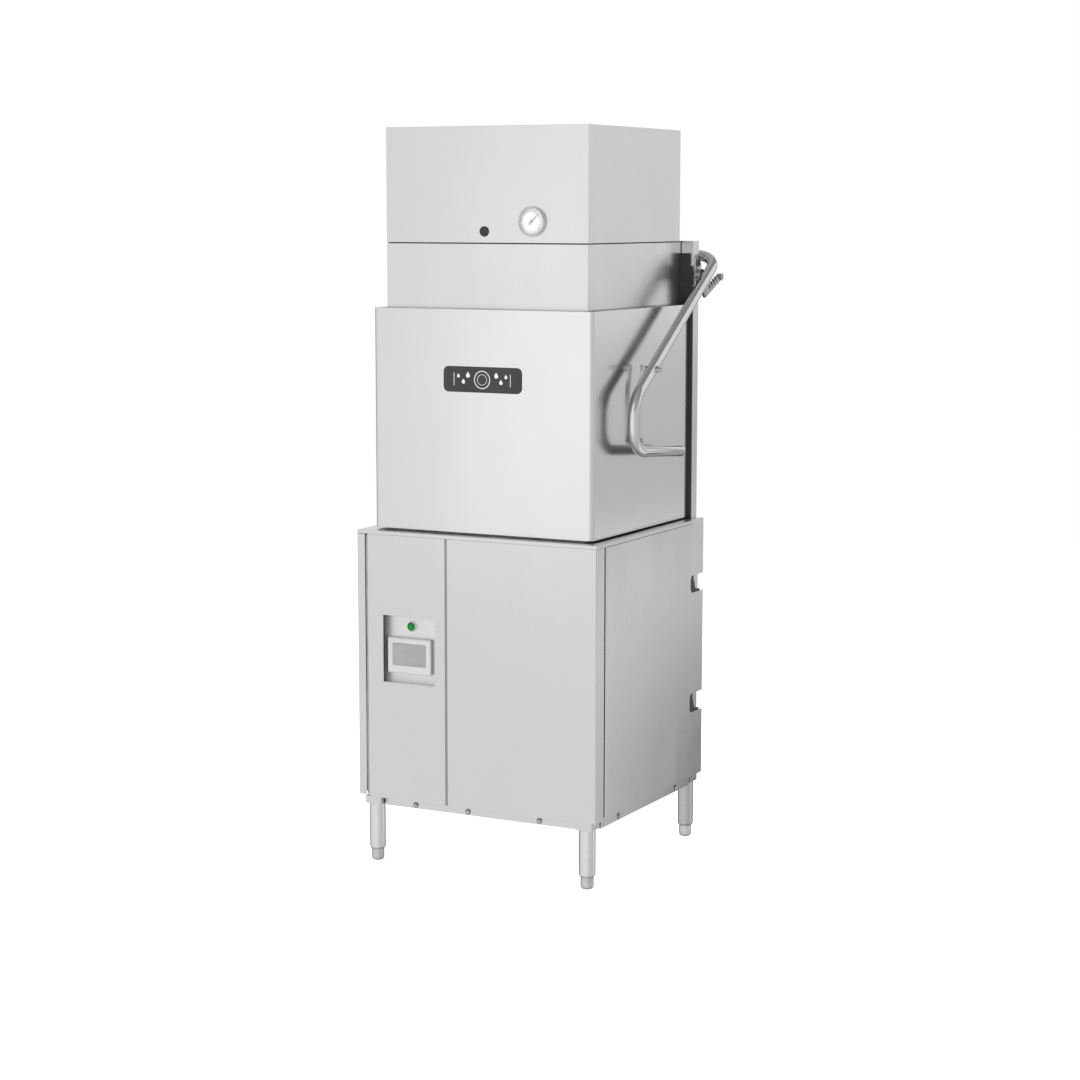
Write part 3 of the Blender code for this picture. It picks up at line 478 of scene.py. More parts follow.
def slab(bm, outline, axis, reach):
    """Extrude a closed outline: (x, depth) along Z, (x, z) along Y, or (depth, z) along X."""
    place = {"Z": lambda a, b, c: (a, back(b), c), "Y": lambda a, b, c: (a, back(c), b),
             "X": lambda a, b, c: (c, back(a), b)}[axis]
    near, far = ([bm.verts.new(place(a, b, c)) for a, b in outline] for c in reach)
    made = [bm.faces.new(near), bm.faces.new(far[::-1])] + bridge(bm, near, far)
    bmesh.ops.recalc_face_normals(bm, faces=made)
    return bm


def oblong(first, second):
    """Corners of a rectangle from its two ranges."""
    return [(first[0], second[0]), (first[1], second[0]), (first[1], second[1]), (first[0], second[1])]


def aimed(centre, turn, points):
    """Turn (along, across) points by an angle and move them to a centre."""
    way = Vector((math.cos(turn), math.sin(turn)))
    side = Vector((-way.y, way.x))
    return [tuple(Vector(centre) + way * along + side * across) for along, across in points]


def rounded(corners, steps=8):
    """Turn (point, radius) corners of an open 2-D path into points with arcs."""
    path = []
    for index, (corner, radius) in enumerate(corners):
        corner = Vector(corner)
        if radius == 0 or index in (0, len(corners) - 1):
            path.append(corner)
            continue
        before = (Vector(corners[index - 1][0]) - corner).normalized()
        after = (Vector(corners[index + 1][0]) - corner).normalized()
        half = before.angle(after) / 2
        reach = radius / math.tan(half)
        centre = corner + (before + after).normalized() * radius / math.sin(half)
        begin = corner + before * reach - centre
        end = corner + after * reach - centre
        turn = begin.angle(end)
        for step in range(steps + 1):
            share = step / steps
            weight = (math.sin((1 - share) * turn), math.sin(share * turn))
            path.append(centre + (begin * weight[0] + end * weight[1]) / math.sin(turn))
    return path


def rounded_box(x, z, radius, steps=6):
    """Closed outline of a rectangle with round corners."""
    middle = (x[0] + x[1]) / 2
    loop = rounded([((middle, z[0]), 0), ((x[1], z[0]), radius), ((x[1], z[1]), radius),
                    ((x[0], z[1]), radius), ((x[0], z[0]), radius), ((middle, z[0]), 0)], steps)
    return loop[:-1]


# ---- sheet metal, castings and inner parts that keep the CAD shape
SKINS = {
    "panel_steel": "side_panel_left side_panel_right control_panel access_panel rear_panel base_frame "
                   "column_left column_right pivot_bracket_left pivot_bracket_right heat_recovery_cover",
    "recess_steel": "control_recess",
    "deck_steel": "wash_tank",
    "hood_steel": "hood",
    "chamber_steel": "upper_chamber chamber_back",
    "polished_tube": "rack_track wash_manifold upper_wash_arm lower_wash_arm upper_rinse_arm "
                     "lower_rinse_arm lift_link_left lift_link_right",
    "cast_steel": "wash_pump pump_impeller spring_lever_left spring_lever_right",
    "galvanised": "booster_tank drain_pipe blower_housing blower_wheel blower_shaft spring_anchor",
    "black_polymer": "door_guide_left door_guide_right",
    "copper": "tank_heater",
}
BREAKS = {"cast_steel": 0.0008, "black_polymer": 0.0008, "galvanised": 0.0006}


def skins():
    """Give every node of the SKINS table its refined shape and look."""
    for look, nodes in SKINS.items():
        for node in nodes.split():
            refine(node, look, BREAKS.get(look, 0.0004))


def condenser():
    """Fins on the coil's straight tubes, between its two end plates."""
    bm = bmesh.new()
    end_x, end_half, fin_half = 0.2285, 0.0015, 0.0003
    for x in (-end_x, end_x):
        slab(bm, oblong((0.120, 0.300), (1.600, 1.820)), "X", (x - end_half, x + end_half))
    for k in range(56):
        x = -0.220 + 0.008 * k
        slab(bm, oblong((0.126, 0.294), (1.606, 1.814)), "X", (x - fin_half, x + fin_half))
    for depth in (0.150, 0.210, 0.270):
        for z in (1.640, 1.710, 1.780):
            lathe(bm, [(0.008, -0.229), (0.008, 0.229)], (0.0, back(depth), z), "X", 16)
    piece("condenser_fins", bm, "cabinet", "copper", stands_for=("condenser_coil",))


# ---- legs and feet
def legs():
    """Leg tubes on their shoes, and the bullet feet that screw up into them."""
    shell = [(0.0200, 0.1513), (0.02065, 0.1506), (0.02065, 0.0372), (0.02035, 0.0357), (0.0182, 0.0318),
             (0.0176, 0.0312), (0.0092, 0.0312), (0.0090, 0.0315), (0.0090, 0.045), (0.0185, 0.045),
             (0.0185, 0.1513)]
    thread_top, pitch = 0.0990, 0.002
    thread = [point for k in range(34) for point in ((0.0080, thread_top - pitch * k),
                                                     (0.0074, thread_top - pitch * (k + 0.5)))]
    foot = ([(0.0, 0.100), (0.0074, 0.100)] + thread
            + [(0.0080, 0.0306), (0.0158, 0.0306), (0.0165, 0.0300), (0.0165, 0.0078), (0.0162, 0.0060),
               (0.0152, 0.0036), (0.0134, 0.0014), (0.0112, 0.0003), (0.0100, 0.0), (0.0, 0.0)])
    for side, sign in SIDES.items():
        for place, look in (("front", "leg_tube"), ("rear", "shaded_tube")):
            at = (sign * LEG_X, back(LEG_DEPTHS[place]), 0.0)
            piece(f"leg_tube_{place}_{side}", lathe(bmesh.new(), shell, at, "Z", 56, closed=True), "cabinet",
                  look, stands_for=(f"leg_{place}_{side}",))
            piece(f"bullet_foot_{place}_{side}", lathe(bmesh.new(), foot, at, "Z", 40),
                  f"foot_{place}_{side}", "foot_steel", stands_for=(f"foot_{place}_{side}",))


# ---- fasteners
def pan_screw(bm, at, axis, way, radius, height, drive=True):
    """A pan-head screw with a cross recess; way is +1 or -1 along the axis."""
    dome = [(0.0, 0.0), (radius, 0.0), (radius, 0.35 * height), (0.93 * radius, 0.66 * height),
            (0.74 * radius, 0.88 * height), (0.42 * radius, height)]
    tail = [(0.30 * radius, 0.55 * height), (0.0, 0.5 * height)] if drive else [(0.0, height)]
    lathe(bm, [(r, way * z) for r, z in dome + tail], at, axis, 28)


def hex_head(bm, at, axis, way, radius, height, turn=0.3):
    """A chamfered six-sided head or nut."""
    place = aim(at, axis)
    rings = []
    for scale, along in ((1.0, 0.0), (1.0, 0.82 * height), (0.86, height)):
        r = radius * scale
        rings.append([bm.verts.new(place @ Vector((r * c, r * s, way * along))) for c, s in around(6, turn)])
    made = [bm.faces.new(rings[0]), bm.faces.new(rings[-1])]
    for ring, following in zip(rings, rings[1:]):
        made += bridge(bm, ring, following)
    bmesh.ops.recalc_face_normals(bm, faces=made)


def washer(name, at, axis, way, radius):
    # Painted shade: the washer's dark steel, seated a little above its screw, shows as a dark ring round the
    # screw head.
    thick = way * 0.0008
    bm = lathe(bmesh.new(), [(0.0, 0.0), (radius, 0.0), (radius, thick), (0.0, thick)], at, axis, 28)
    piece(name, bm, "cabinet", "seam_steel", 30, 0.0002)


def fasteners():
    """Skirt screws, guide bolts, back-panel screws, hood studs and pivot nuts."""
    for index, x in enumerate(SKIRT_SCREWS_X):
        washer(f"skirt_washer_front_{index + 1}", (x, back(0.02535), 0.1572), "Y", -1, 0.0080)
        bm = bmesh.new()
        pan_screw(bm, (x, back(0.0246), 0.1565), "Y", -1, 0.0054, 0.0034)
        piece(f"skirt_screw_front_{index + 1}", bm, "cabinet", "screw_steel")
    for side, sign in SIDES.items():
        for index, depth in enumerate(SKIRT_SCREWS_DEPTH):
            washer(f"skirt_washer_{side}_{index + 1}", (sign * SKIRT_SIDE, back(depth), 0.1585), "X", sign,
                   0.0085)
            bm = bmesh.new()
            pan_screw(bm, (sign * (SKIRT_SIDE + 0.0008), back(depth), 0.1580), "X", sign, 0.0054, 0.0034)
            piece(f"skirt_screw_{side}_{index + 1}", bm, "cabinet", "screw_steel")
        bm = bmesh.new()
        for z in GUIDE_BOLTS_Z:
            hex_head(bm, (sign * 0.3150, back(0.6099), z), "Y", -1, 0.0046, 0.0060)
        piece(f"guide_bolts_{side}", bm, "cabinet", "screw_steel")
        bm = bmesh.new()
        for z in REAR_SCREWS_Z:
            pan_screw(bm, (sign * 0.304, back(0.6363), z), "Y", 1, 0.0046, 0.0022)
        piece(f"rear_screws_{side}", bm, "cabinet", "screw_steel")
        bm = bmesh.new()
        pan_screw(bm, (sign * 0.3329, back(HOOD_STUD[0]), HOOD_STUD[1]), "X", sign, 0.0058, 0.0020, False)
        piece(f"stud_rivet_{side}", bm, "hood", "polished_tube")
        bm = bmesh.new()
        hex_head(bm, (sign * 0.3396, back(PIVOT[0]), PIVOT[1]), "X", sign, 0.0080, 0.0045)
        piece(f"pivot_nut_{side}", bm, "cabinet", "screw_steel")


def weld_dimples():
    """Shallow spot-weld marks round the control recess."""
    bm = bmesh.new()
    marks = [(-0.2482, 0.6539), (-0.1896, 0.6576), (-0.1230, 0.6555), (-0.1029, 0.6316), (-0.2675, 0.5609),
             (-0.2698, 0.4933), (-0.1790, 0.4705), (-0.1239, 0.4739), (-0.1081, 0.4981)]
    for x, z in marks:
        lathe(bm, [(0.0, -0.000004), (0.0012, -0.000005), (0.0019, -0.00001), (0.0024, 0.0001)],
              (x, back(0.0), z), "Y", 20)
    piece("spot_weld_marks", bm, "cabinet", "weld_mark", smooth=80)


def strip(name, look, x, depth, z=(0.1780, 0.8520)):
    """A thin upright strip that closes a joint between panels from behind."""
    piece(name, slab(bmesh.new(), oblong(x, z), "Y", depth), "cabinet", look, 30, 0.0002)


def trims():
    """Strips behind the seams, gasket under the top box, a dark sheet of painted shade on the recess's side
    wall and cut-out seals whose black is partly painted shade.
    """
    strip("seam_backing", "seam_steel", (-0.0841, -0.0792), (0.0012, 0.0022), (0.1730, 0.8540))
    strip("edge_backing", "cast_steel", (-0.3171, -0.3113), (0.0030, 0.0040))
    strip("corner_backing", "cast_steel", (0.3263, 0.3273), (0.0462, 0.0556))
    bm = bmesh.new()
    outer = oblong((-0.2815, 0.2815), (0.0655, 0.5965))
    inner = oblong((-0.2765, 0.2765), (0.0705, 0.5915))
    low, high = 1.5883, 1.5905
    band(bm, [[bm.verts.new((x, back(depth), z)) for x, depth in loop]
              for loop, z in ((outer, low), (outer, high), (inner, high), (inner, low))])
    piece("box_gasket", bm, "cabinet", "black_polymer", 30, 0.0003)
    # Painted shade: a dark sheet on the left side wall of the control recess, darkest at its front edge.
    bm = slab(bmesh.new(), oblong((0.0020, 0.0204), (0.4775, 0.6490)), "X", (-0.2649, -0.2644))
    piece("recess_liner", bm, "cabinet", "liner", 30, 0.0001)
    for side, sign in SIDES.items():
        for place, (low, high) in CUTOUTS.items():
            # Black crescents at the front and bottom edges of each cut-out: partly a rubber seal, partly
            # painted shade of the dark gap behind the side panel.
            edge = [(0.552, high + 0.004), (0.552, low - 0.004), (0.626, low - 0.004), (0.626, low + 0.0055),
                    (0.606, low + 0.0070), (0.5975, low + 0.0105), (0.5935, low + 0.0180),
                    (0.5900, low + 0.0290), (0.5840, low + 0.0390), (0.5720, high + 0.004)]
            bm = slab(bmesh.new(), edge, "X", sorted((sign * 0.3355, sign * 0.3380)))
            piece(f"{place}_cutout_shade_seal_{side}", bm, "cabinet", "black_polymer", 30, 0.0004)


# ---- control panel
def controls():
    """Frame and glass of the touch screen, and the green button in its ring."""
    bm = bmesh.new()
    outer = rounded_box((-0.258, -0.131), (0.5005, 0.592), 0.0045)
    step = rounded_box((-0.2555, -0.1335), (0.503, 0.5895), 0.0040)
    well = rounded_box((-0.2430, -0.1465), (0.5215, 0.5775), 0.0012)
    flare = rounded_box((-0.2455, -0.1440), (0.5190, 0.5800), 0.0020)
    loops = [(outer, RECESS_FLOOR - 0.0003), (outer, 0.0112), (step, 0.0092), (flare, 0.0090), (well, 0.0106),
             (well, 0.0130)]
    rings = [[bm.verts.new((x, back(depth), z)) for x, z in loop] for loop, depth in loops]
    for ring, following in zip(rings, rings[1:]):
        bridge(bm, ring, following)
    bm.faces.new(rings[0])
    bm.faces.new(rings[-1])
    bmesh.ops.recalc_face_normals(bm, faces=bm.faces)
    piece("hmi_frame", bm, "cabinet", "grey_polymer", 25, 0.0006, 3, ("hmi_bezel",))

    bm = slab(bmesh.new(), rounded_box((-0.2425, -0.1470), (0.5220, 0.5770), 0.0010), "Y", (0.0102, 0.0127))
    piece("touch_screen", bm, "cabinet", "screen_glass", 30, 0.0003, 2, ("hmi_screen",))

    at = (BUTTON[0], back(RECESS_FLOOR), BUTTON[1])
    ring = [(0.0128, -0.0003), (0.0128, -0.0030), (0.0126, -0.0037), (0.0121, -0.0044), (0.0115, -0.0048),
            (0.0109, -0.0048), (0.0104, -0.0043), (0.0104, -0.0003)]
    piece("button_ring", lathe(bmesh.new(), ring, at, "Y", 48, closed=True), "cabinet", "chrome",
          stands_for=("button_collar",))
    radius, rim, crown, steps = 0.0100, -0.0066, 0.0022, 9
    arc = [math.pi / 2 * k / steps for k in range(steps)]
    dome = [(0.0, 0.006), (0.0078, 0.006), (0.0078, -0.0038), (0.0099, -0.0038)]
    dome += [(radius * math.cos(t), rim - crown * math.sin(t)) for t in arc] + [(0.0, rim - crown)]
    piece("green_button", lathe(bmesh.new(), dome, at, "Y", 40), "power_button", "green_lens",
          60, stands_for=("power_button",))


# ---- gauge, plug and badge
def dial_turn(step, steps):
    """Angle of a step of the dial's scale, which runs clockwise from its lower left."""
    return math.radians(225 - 270 * step / steps)


def gauge():
    """Temperature gauge with a turning pointer, and the blanking plug beside it."""
    front = (GAUGE[0], back(TOP_FRONT), GAUGE[1])
    case = [(0.0, 0.030), (0.0100, 0.030), (0.0100, -0.0003), (0.0356, -0.0003), (0.0362, -0.0009),
            (0.0365, -0.0018), (0.0365, -0.0090), (0.0361, -0.0104), (0.0352, -0.0113), (0.0342, -0.0115),
            (0.0331, -0.0112), (0.0322, -0.0104), (0.0318, -0.0092), (0.0312, -0.0046), (0.0, -0.0046)]
    piece("gauge_case", lathe(bmesh.new(), case, front, "Y", 72), "cabinet", "chrome", 40,
          stands_for=("temperature_gauge",))
    dial = [(0.0, -0.0046), (0.0308, -0.0046), (0.0310, -0.0048), (0.0308, -0.0050), (0.0, -0.0050)]
    piece("gauge_dial", lathe(bmesh.new(), dial, front, "Y", 72), "cabinet", "dial_white")

    bm = bmesh.new()
    printed = (TOP_FRONT - 0.0052, TOP_FRONT - 0.0049)
    tick_end, line_end, ticks, steps = 0.0262, 0.0266, 51, 60
    for k in range(ticks):
        begin, half = (0.0228, 0.00040) if k % 5 == 0 else (0.0242, 0.00018)
        tick = oblong((begin, tick_end), (-half, half))
        slab(bm, aimed(GAUGE, dial_turn(k, ticks - 1), tick), "Y", printed)
    arc = [dial_turn(k, steps) for k in range(steps + 1)]
    line = [(line_end, t) for t in arc] + [(tick_end, t) for t in arc[::-1]]
    slab(bm, [(GAUGE[0] + r * math.cos(t), GAUGE[1] + r * math.sin(t)) for r, t in line], "Y", printed)
    lathe(bm, [(0.0, -0.0049), (0.0011, -0.0049), (0.0011, -0.0052), (0.0, -0.0052)],
          (GAUGE[0] + 0.0005, back(TOP_FRONT), GAUGE[1] - 0.0085), "Y", 20)
    piece("gauge_scale", bm, "cabinet", "scale_ink")

    bm = bmesh.new()
    needle = [(-0.010, 0.0022), (-0.001, 0.0012), (0.000, 0.0014), (0.024, 0.0007), (0.026, 0.0002)]
    edge = needle + [(along, -half) for along, half in needle[::-1]]
    slab(bm, aimed(GAUGE, math.radians(45), edge), "Y", (TOP_FRONT - 0.0070, TOP_FRONT - 0.0061))
    lathe(bm, [(0.0, -0.0053), (0.0036, -0.0053), (0.0036, -0.0076), (0.0028, -0.0082), (0.0, -0.0082)],
          front, "Y", 32)
    piece("gauge_pointer", bm, "gauge_needle", "needle_ink", stands_for=("gauge_needle",))

    glass = [(0.0, -0.0092), (0.0160, -0.0092), (0.0312, -0.0090), (0.0316, -0.0096), (0.0312, -0.0100),
             (0.0160, -0.0105), (0.0, -0.0106)]
    piece("gauge_window", lathe(bmesh.new(), glass, front, "Y", 64), "cabinet", "gauge_glass",
          60)

    plug = [(0.0, 0.006), (0.0094, 0.006), (0.0100, 0.005), (0.0100, -0.0003), (0.0127, -0.0003),
            (0.0130, -0.0008), (0.0127, -0.0018), (0.0112, -0.0026), (0.0080, -0.0030), (0.0072, -0.0024),
            (0.0, -0.0022)]
    piece("blanking_plug", lathe(bmesh.new(), plug, (PLUG[0], back(TOP_FRONT), PLUG[1]), "Y", 48), "cabinet",
          "black_polymer", stands_for=("hole_plug",))


def badge():
    """Generic plate: two circles, and three drops and a bar on each side of them, with no lettering."""
    face = HOOD_FRONT - 0.0023
    bm = slab(bmesh.new(), rounded_box((-0.1045, 0.1155), (1.222, 1.286), 0.014, 8), "Y",
              (face, HOOD_FRONT - 0.0003))
    piece("badge_plate", bm, "hood", "badge_black", 30, 0.0006, 3, ("hood_badge",))
    bm = bmesh.new()
    middle, height = BADGE
    near, far = face - 0.0004, face + 0.0003
    for outer, inner in ((0.0225, 0.0205), (0.0135, 0.0125)):
        band(bm, [[bm.verts.new((middle + r * c, back(depth), height + r * s)) for c, s in around(48)]
                  for r, depth in ((outer, far), (outer, near), (inner, near), (inner, far))])
    for side in (-1, 1):
        for x, z, size in ((0.040, 0.010, 0.0056), (0.053, -0.006, 0.0048), (0.067, 0.008, 0.0040)):
            drop = []
            for c, s in around(32):
                tip = max(0.0, s)
                drop.append((middle + side * x + size * c * (1 - 0.35 * tip ** 2),
                             height + z + size * s * (1.0 + 0.55 * tip ** 4)))
            slab(bm, drop, "Y", (near, far))
        centre, half = middle + side * 0.0795, 0.0007
        bar = rounded_box((centre - half, centre + half), (height - 0.016, height + 0.016), 0.0006, 3)
        slab(bm, bar, "Y", (near, far))
    piece("badge_icon", bm, "hood", "badge_pale")


# ---- handle and counterbalance
def handle_side(sign):
    """Centre line of one side of the handle: grip, arm and the bend into the cross tube."""
    grip_end, elbow_depth, steps = (0.4565, 1.05732), 0.172, 18
    arm_foot = (elbow_depth, LIFT_BOLT[1] + (elbow_depth - LIFT_BOLT[0]) * math.tan(ARM_SLOPE))
    grip = rounded([(grip_end, 0), ((elbow_depth, 1.0802), 0.062), (arm_foot, 0.094), (CROSS_TUBE, 0)], steps)
    flat = [Vector((sign * TUBE_X, back(p.x), p.y)) for p in grip[:-1]]
    corner = Vector((sign * TUBE_X, back(CROSS_TUBE[0]), CROSS_TUBE[1]))
    down = (flat[-1] - corner).normalized()
    inward = Vector((-sign, 0, 0))
    bend = [corner + (down + inward - inward * math.cos(t) - down * math.sin(t)) * UPPER_BEND
            for t in (math.pi / 2 * k / steps for k in range(steps + 1))]
    cap = (flat[0] - flat[1]).normalized()
    tip = [flat[0] + cap * reach for reach in (0.0015, 0.0012, 0.0006)]
    return tip + flat + bend


def handle():
    """The bent tube, the bolts that tie it to the lift links and the springs' collars."""
    path = handle_side(1) + handle_side(-1)[::-1]
    radii = [TUBE_R] * len(path)
    for index, share in enumerate((0.86, 0.94, 0.985)):
        radii[index] = radii[-1 - index] = TUBE_R * share
    piece("handle_tube", tube(bmesh.new(), path, radii, 36), "handle", "handle_steel", 50,
          stands_for=("handle",))
    collar = [(0.01405, -0.006), (0.0156, -0.006), (0.0160, -0.004), (0.0160, 0.004), (0.0156, 0.006),
              (0.01405, 0.006)]
    washer_edge = [(0.0098, 0.3676), (0.0098, 0.3692), (0.0046, 0.3692), (0.0046, 0.3676)]
    thread = [(r, along + 0.0014 * k) for k in range(5) for r, along in ((0.0048, 0.3752), (0.0042, 0.3759))]
    bolt = [(0.0, 0.3345), (0.0048, 0.3345)] + thread + [(0.0040, 0.3819), (0.0, 0.3820)]
    for side, sign in SIDES.items():
        at = (0.0, back(LIFT_BOLT[0]), LIFT_BOLT[1])
        bm = bmesh.new()
        lathe(bm, [(r, sign * along) for r, along in bolt], at, "X", 24)
        lathe(bm, [(r, sign * along) for r, along in washer_edge], at, "X", 32, closed=True)
        hex_head(bm, (sign * 0.3688, at[1], at[2]), "X", sign, 0.0085, 0.0058)
        hex_head(bm, (sign * 0.3350, at[1], at[2]), "X", sign, 0.0085, 0.0072, 0.0)
        piece(f"lift_bolt_{side}", bm, "handle", "screw_steel", 30, 0.0003)
        at = (sign * SPRING_X, back(CROSS_TUBE[0]), CROSS_TUBE[1])
        bm = lathe(bmesh.new(), collar, at, "X", 36, closed=True)
        piece(f"spring_collar_{side}", bm, "handle", "cast_steel", 30, 0.0003)


def coil_spring(side, sign):
    """Extension spring between the anchor angle and the handle's cross tube, with hooked ends."""
    x, y = sign * SPRING_X, back(SPRING_DEPTH)
    low, high, coil_r, wire_r = 0.852, 1.486, 0.0136, 0.0022
    turns, steps = 62, 20
    path = []
    for k in range(turns * steps + 1):
        share = k / (turns * steps)
        a = 2 * math.pi * turns * share
        path.append((x + coil_r * math.cos(a), y + coil_r * math.sin(a), low + (high - low) * share))
    foot = [(0.0, SPRING_Z[0] + wire_r), (0.0, 0.815), (0.0, 0.832), (0.004, 0.841), (0.010, 0.8475)]
    head = [(0.010, 1.4905), (0.004, 1.497), (0.0, 1.506), (0.0, 1.522), (0.0, SPRING_Z[1] - wire_r)]
    low_hook, high_hook = ([(x + aside, y, z) for aside, z in hook] for hook in (foot, head))
    bm = tube(bmesh.new(), low_hook + path + high_hook, wire_r, 10)
    spring = piece(f"coil_spring_{side}", bm, "cabinet", "spring_wire", 60,
                   stands_for=(f"counter_spring_{side}",))
    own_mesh(spring)


# ---- inside the tank and under it
def tank_fittings():
    """Overflow pipe and scrap basket in the tank, and the pump's finned motor under it."""
    pipe = [(0.0160, 0.6235), (0.0160, 0.7900), (0.0156, 0.7985), (0.0150, 0.8000), (0.0136, 0.8000),
            (0.0130, 0.7990), (0.0130, 0.6235)]
    piece("overflow_pipe", lathe(bmesh.new(), pipe, (-0.235, back(0.545), 0.0), "Z", 40, closed=True),
          "drain_standpipe", "polished_tube", stands_for=("drain_standpipe",))

    bm = bmesh.new()
    x0, x1, y0, y1, floor, top = 0.1508, 0.2612, back(0.0808), back(0.1692), 0.7008, 0.7992
    wire, rim, along_x, along_y, hoops = 0.0007, 0.0016, 14, 12, 13
    for k in range(along_x):
        x = x0 + (x1 - x0) * k / (along_x - 1)
        tube(bm, [(x, y0, top), (x, y0, floor), (x, y1, floor), (x, y1, top)], wire, 6)
    for k in range(along_y):
        y = y0 + (y1 - y0) * k / (along_y - 1)
        tube(bm, [(x0, y, top), (x0, y, floor), (x1, y, floor), (x1, y, top)], wire, 6)
    for k in range(hoops):
        thick, inset = (rim, rim - wire) if k == hoops - 1 else (wire, 0.0)
        z = floor + (top - floor) * k / (hoops - 1) - inset
        loop = oblong((x0 + inset, x1 - inset), (y0 + inset, y1 - inset))
        tube(bm, [(x, y, z) for x, y in loop + loop[:1]], thick, 8)
    piece("wire_basket", bm, "scrap_basket", "polished_tube", 50,
          stands_for=("scrap_basket",))

    bm = lathe(bmesh.new(), [(0.0, -0.230), (0.0560, -0.230), (0.0595, -0.226), (0.0600, -0.200),
                             (0.0590, -0.198), (0.0590, -0.062), (0.0610, -0.060), (0.0610, -0.046),
                             (0.0575, -0.0353), (0.0103, -0.0353), (0.0103, -0.080), (0.0, -0.080)],
               (0.0, SPINDLE_Y, PUMP_Z), "X", 48)
    fins, fin = 30, oblong((0.0585, 0.0635), (-0.0011, 0.0011))
    for k in range(fins):
        turn = 2 * math.pi * k / fins
        slab(bm, aimed((SPINDLE_Y - FRONT_Y, PUMP_Z), turn, fin), "X", (-0.196, -0.064))
    piece("finned_motor", bm, "cabinet", "motor_paint", 30, 0.0004, stands_for=("pump_motor",))


# ---- light, floor and camera
def area(name, at, target, size, power):
    data = bpy.data.lights.new(name, "AREA")
    data.shape = "RECTANGLE"
    data.size, data.size_y = size
    data.energy = power
    light = bpy.data.objects.new(name, data)
    light.location = at
    light.rotation_euler = (Vector(target) - Vector(at)).to_track_quat("-Z", "Y").to_euler()
    light.visible_camera = False
    light.visible_glossy = False
    bpy.context.collection.objects.link(light)


def card(name, corners, stops, fall=(0.0, 0.0)):
    """A lit white card beside the camera's view, seen only in reflections.

    Its glow follows stops of (height, level); fall darkens it towards +Y, most of it low down.
    """
    bm = bmesh.new()
    bm.faces.new([bm.verts.new(corner) for corner in corners])
    mesh = bpy.data.meshes.new(name)
    bm.to_mesh(mesh)
    bm.free()
    material = bpy.data.materials.new(name)
    material.use_nodes = True
    tree = material.node_tree
    tree.nodes.clear()
    at = axes(tree)
    bottom, top = stops[0][0], stops[-1][0]
    level = add(tree, "ShaderNodeSeparateColor", {"Color": ramp(
        tree, span(tree, at["Z"], 0.0, 1.0, bottom, top),
        [((height - bottom) / (top - bottom), grey / 2) for height, grey in stops])}).outputs["Red"]
    away = span(tree, at["Y"], 0.0, 1.0, 2.0, 2.95)
    low = span(tree, at["Z"], 1.0, 0.0, -0.5, 0.55)
    loss = math_node(tree, "MULTIPLY", away, span(tree, low, fall[0] / 2, fall[1] / 2))
    glow = math_node(tree, "MULTIPLY", math_node(tree, "SUBTRACT", level, loss), 2.0)
    shine = add(tree, "ShaderNodeEmission", {"Color": (1.0, 1.0, 1.0, 1.0), "Strength": glow})
    tree.links.new(shine.outputs[0], add(tree, "ShaderNodeOutputMaterial").inputs["Surface"])
    mesh.materials.append(material)
    obj = bpy.data.objects.new(name, mesh)
    bpy.context.collection.objects.link(obj)
    obj.visible_camera = False
    obj.visible_diffuse = False
    obj.visible_shadow = False


def ramp(tree, value, stops):
    """A smooth curve through (position, grey) stops."""
    made = add(tree, "ShaderNodeValToRGB", {"Fac": value})
    made.color_ramp.interpolation = "EASE"
    points = made.color_ramp.elements
    while len(points) < len(stops):
        points.new(0.5)
    for point, (position, grey) in zip(points, stops):
        point.position = position
        point.color = (grey, grey, grey, 1.0)
    return made.outputs["Color"]


def studio():
    """Broad soft light: bright ahead and to the left, falling away to the right and behind."""
    world = bpy.data.worlds.new("studio")
    bpy.context.scene.world = world
    world.use_nodes = True
    tree = world.node_tree
    shade = tree.nodes["Background"]
    way = axes(tree, "Generated")
    ahead = math_node(tree, "MULTIPLY", way["Y"], -1.0)
    turn = math_node(tree, "DIVIDE", math_node(tree, "ARCTAN2", way["X"], ahead), 2 * math.pi)
    turn = math_node(tree, "ADD", turn, 0.5)
    rise = span(tree, way["Z"], 0.0, 1.0, -0.03, 0.08)
    level = mix_colour(tree, rise, ramp(tree, turn, LOW_RING), ramp(tree, turn, HIGH_RING))
    zenith = math_node(tree, "ADD", math_node(tree, "MULTIPLY", way["Z"], 0.5), 0.5)
    level = add(tree, "ShaderNodeVectorMath", {0: level, 1: ramp(tree, zenith, ELEVATION)},
                operation="MULTIPLY").outputs[0]
    rays = add(tree, "ShaderNodeLightPath").outputs["Is Camera Ray"]
    tree.links.new(mix_colour(tree, rays, level, (1.0, 1.0, 1.0)), shade.inputs["Color"])

    for name, at, size, power in LAMPS:
        area(name, at, (0.0, 0.0, 0.9), size, power)
    for settings in CARDS:
        card(*settings)

    bm = bmesh.new()
    bmesh.ops.create_circle(bm, cap_ends=True, radius=7.0, segments=96)
    mesh = bpy.data.meshes.new("floor")
    bm.to_mesh(mesh)
    bm.free()
    floor = bpy.data.objects.new("floor", mesh)
    floor.location.z = -0.0005
    bpy.context.collection.objects.link(floor)
    material, tree, shader = start("floor_paper")
    fibre = noise(tree, 220.0, 4.0)
    tree.links.new(mix_colour(tree, fibre, (0.90, 0.90, 0.90), (0.94, 0.94, 0.94)),
                   shader.inputs["Base Color"])
    shader.inputs["Roughness"].default_value = 0.9
    shader.inputs["Emission Color"].default_value = (1.0, 1.0, 1.0, 1.0)
    shader.inputs["Emission Strength"].default_value = 0.85
    reach = far_from(tree, (0.0, 0.0, 0.0))
    tree.links.new(span(tree, reach, 1.0, 0.0, 1.2, 6.5), shader.inputs["Alpha"])
    mesh.materials.append(material)
    floor.visible_glossy = False


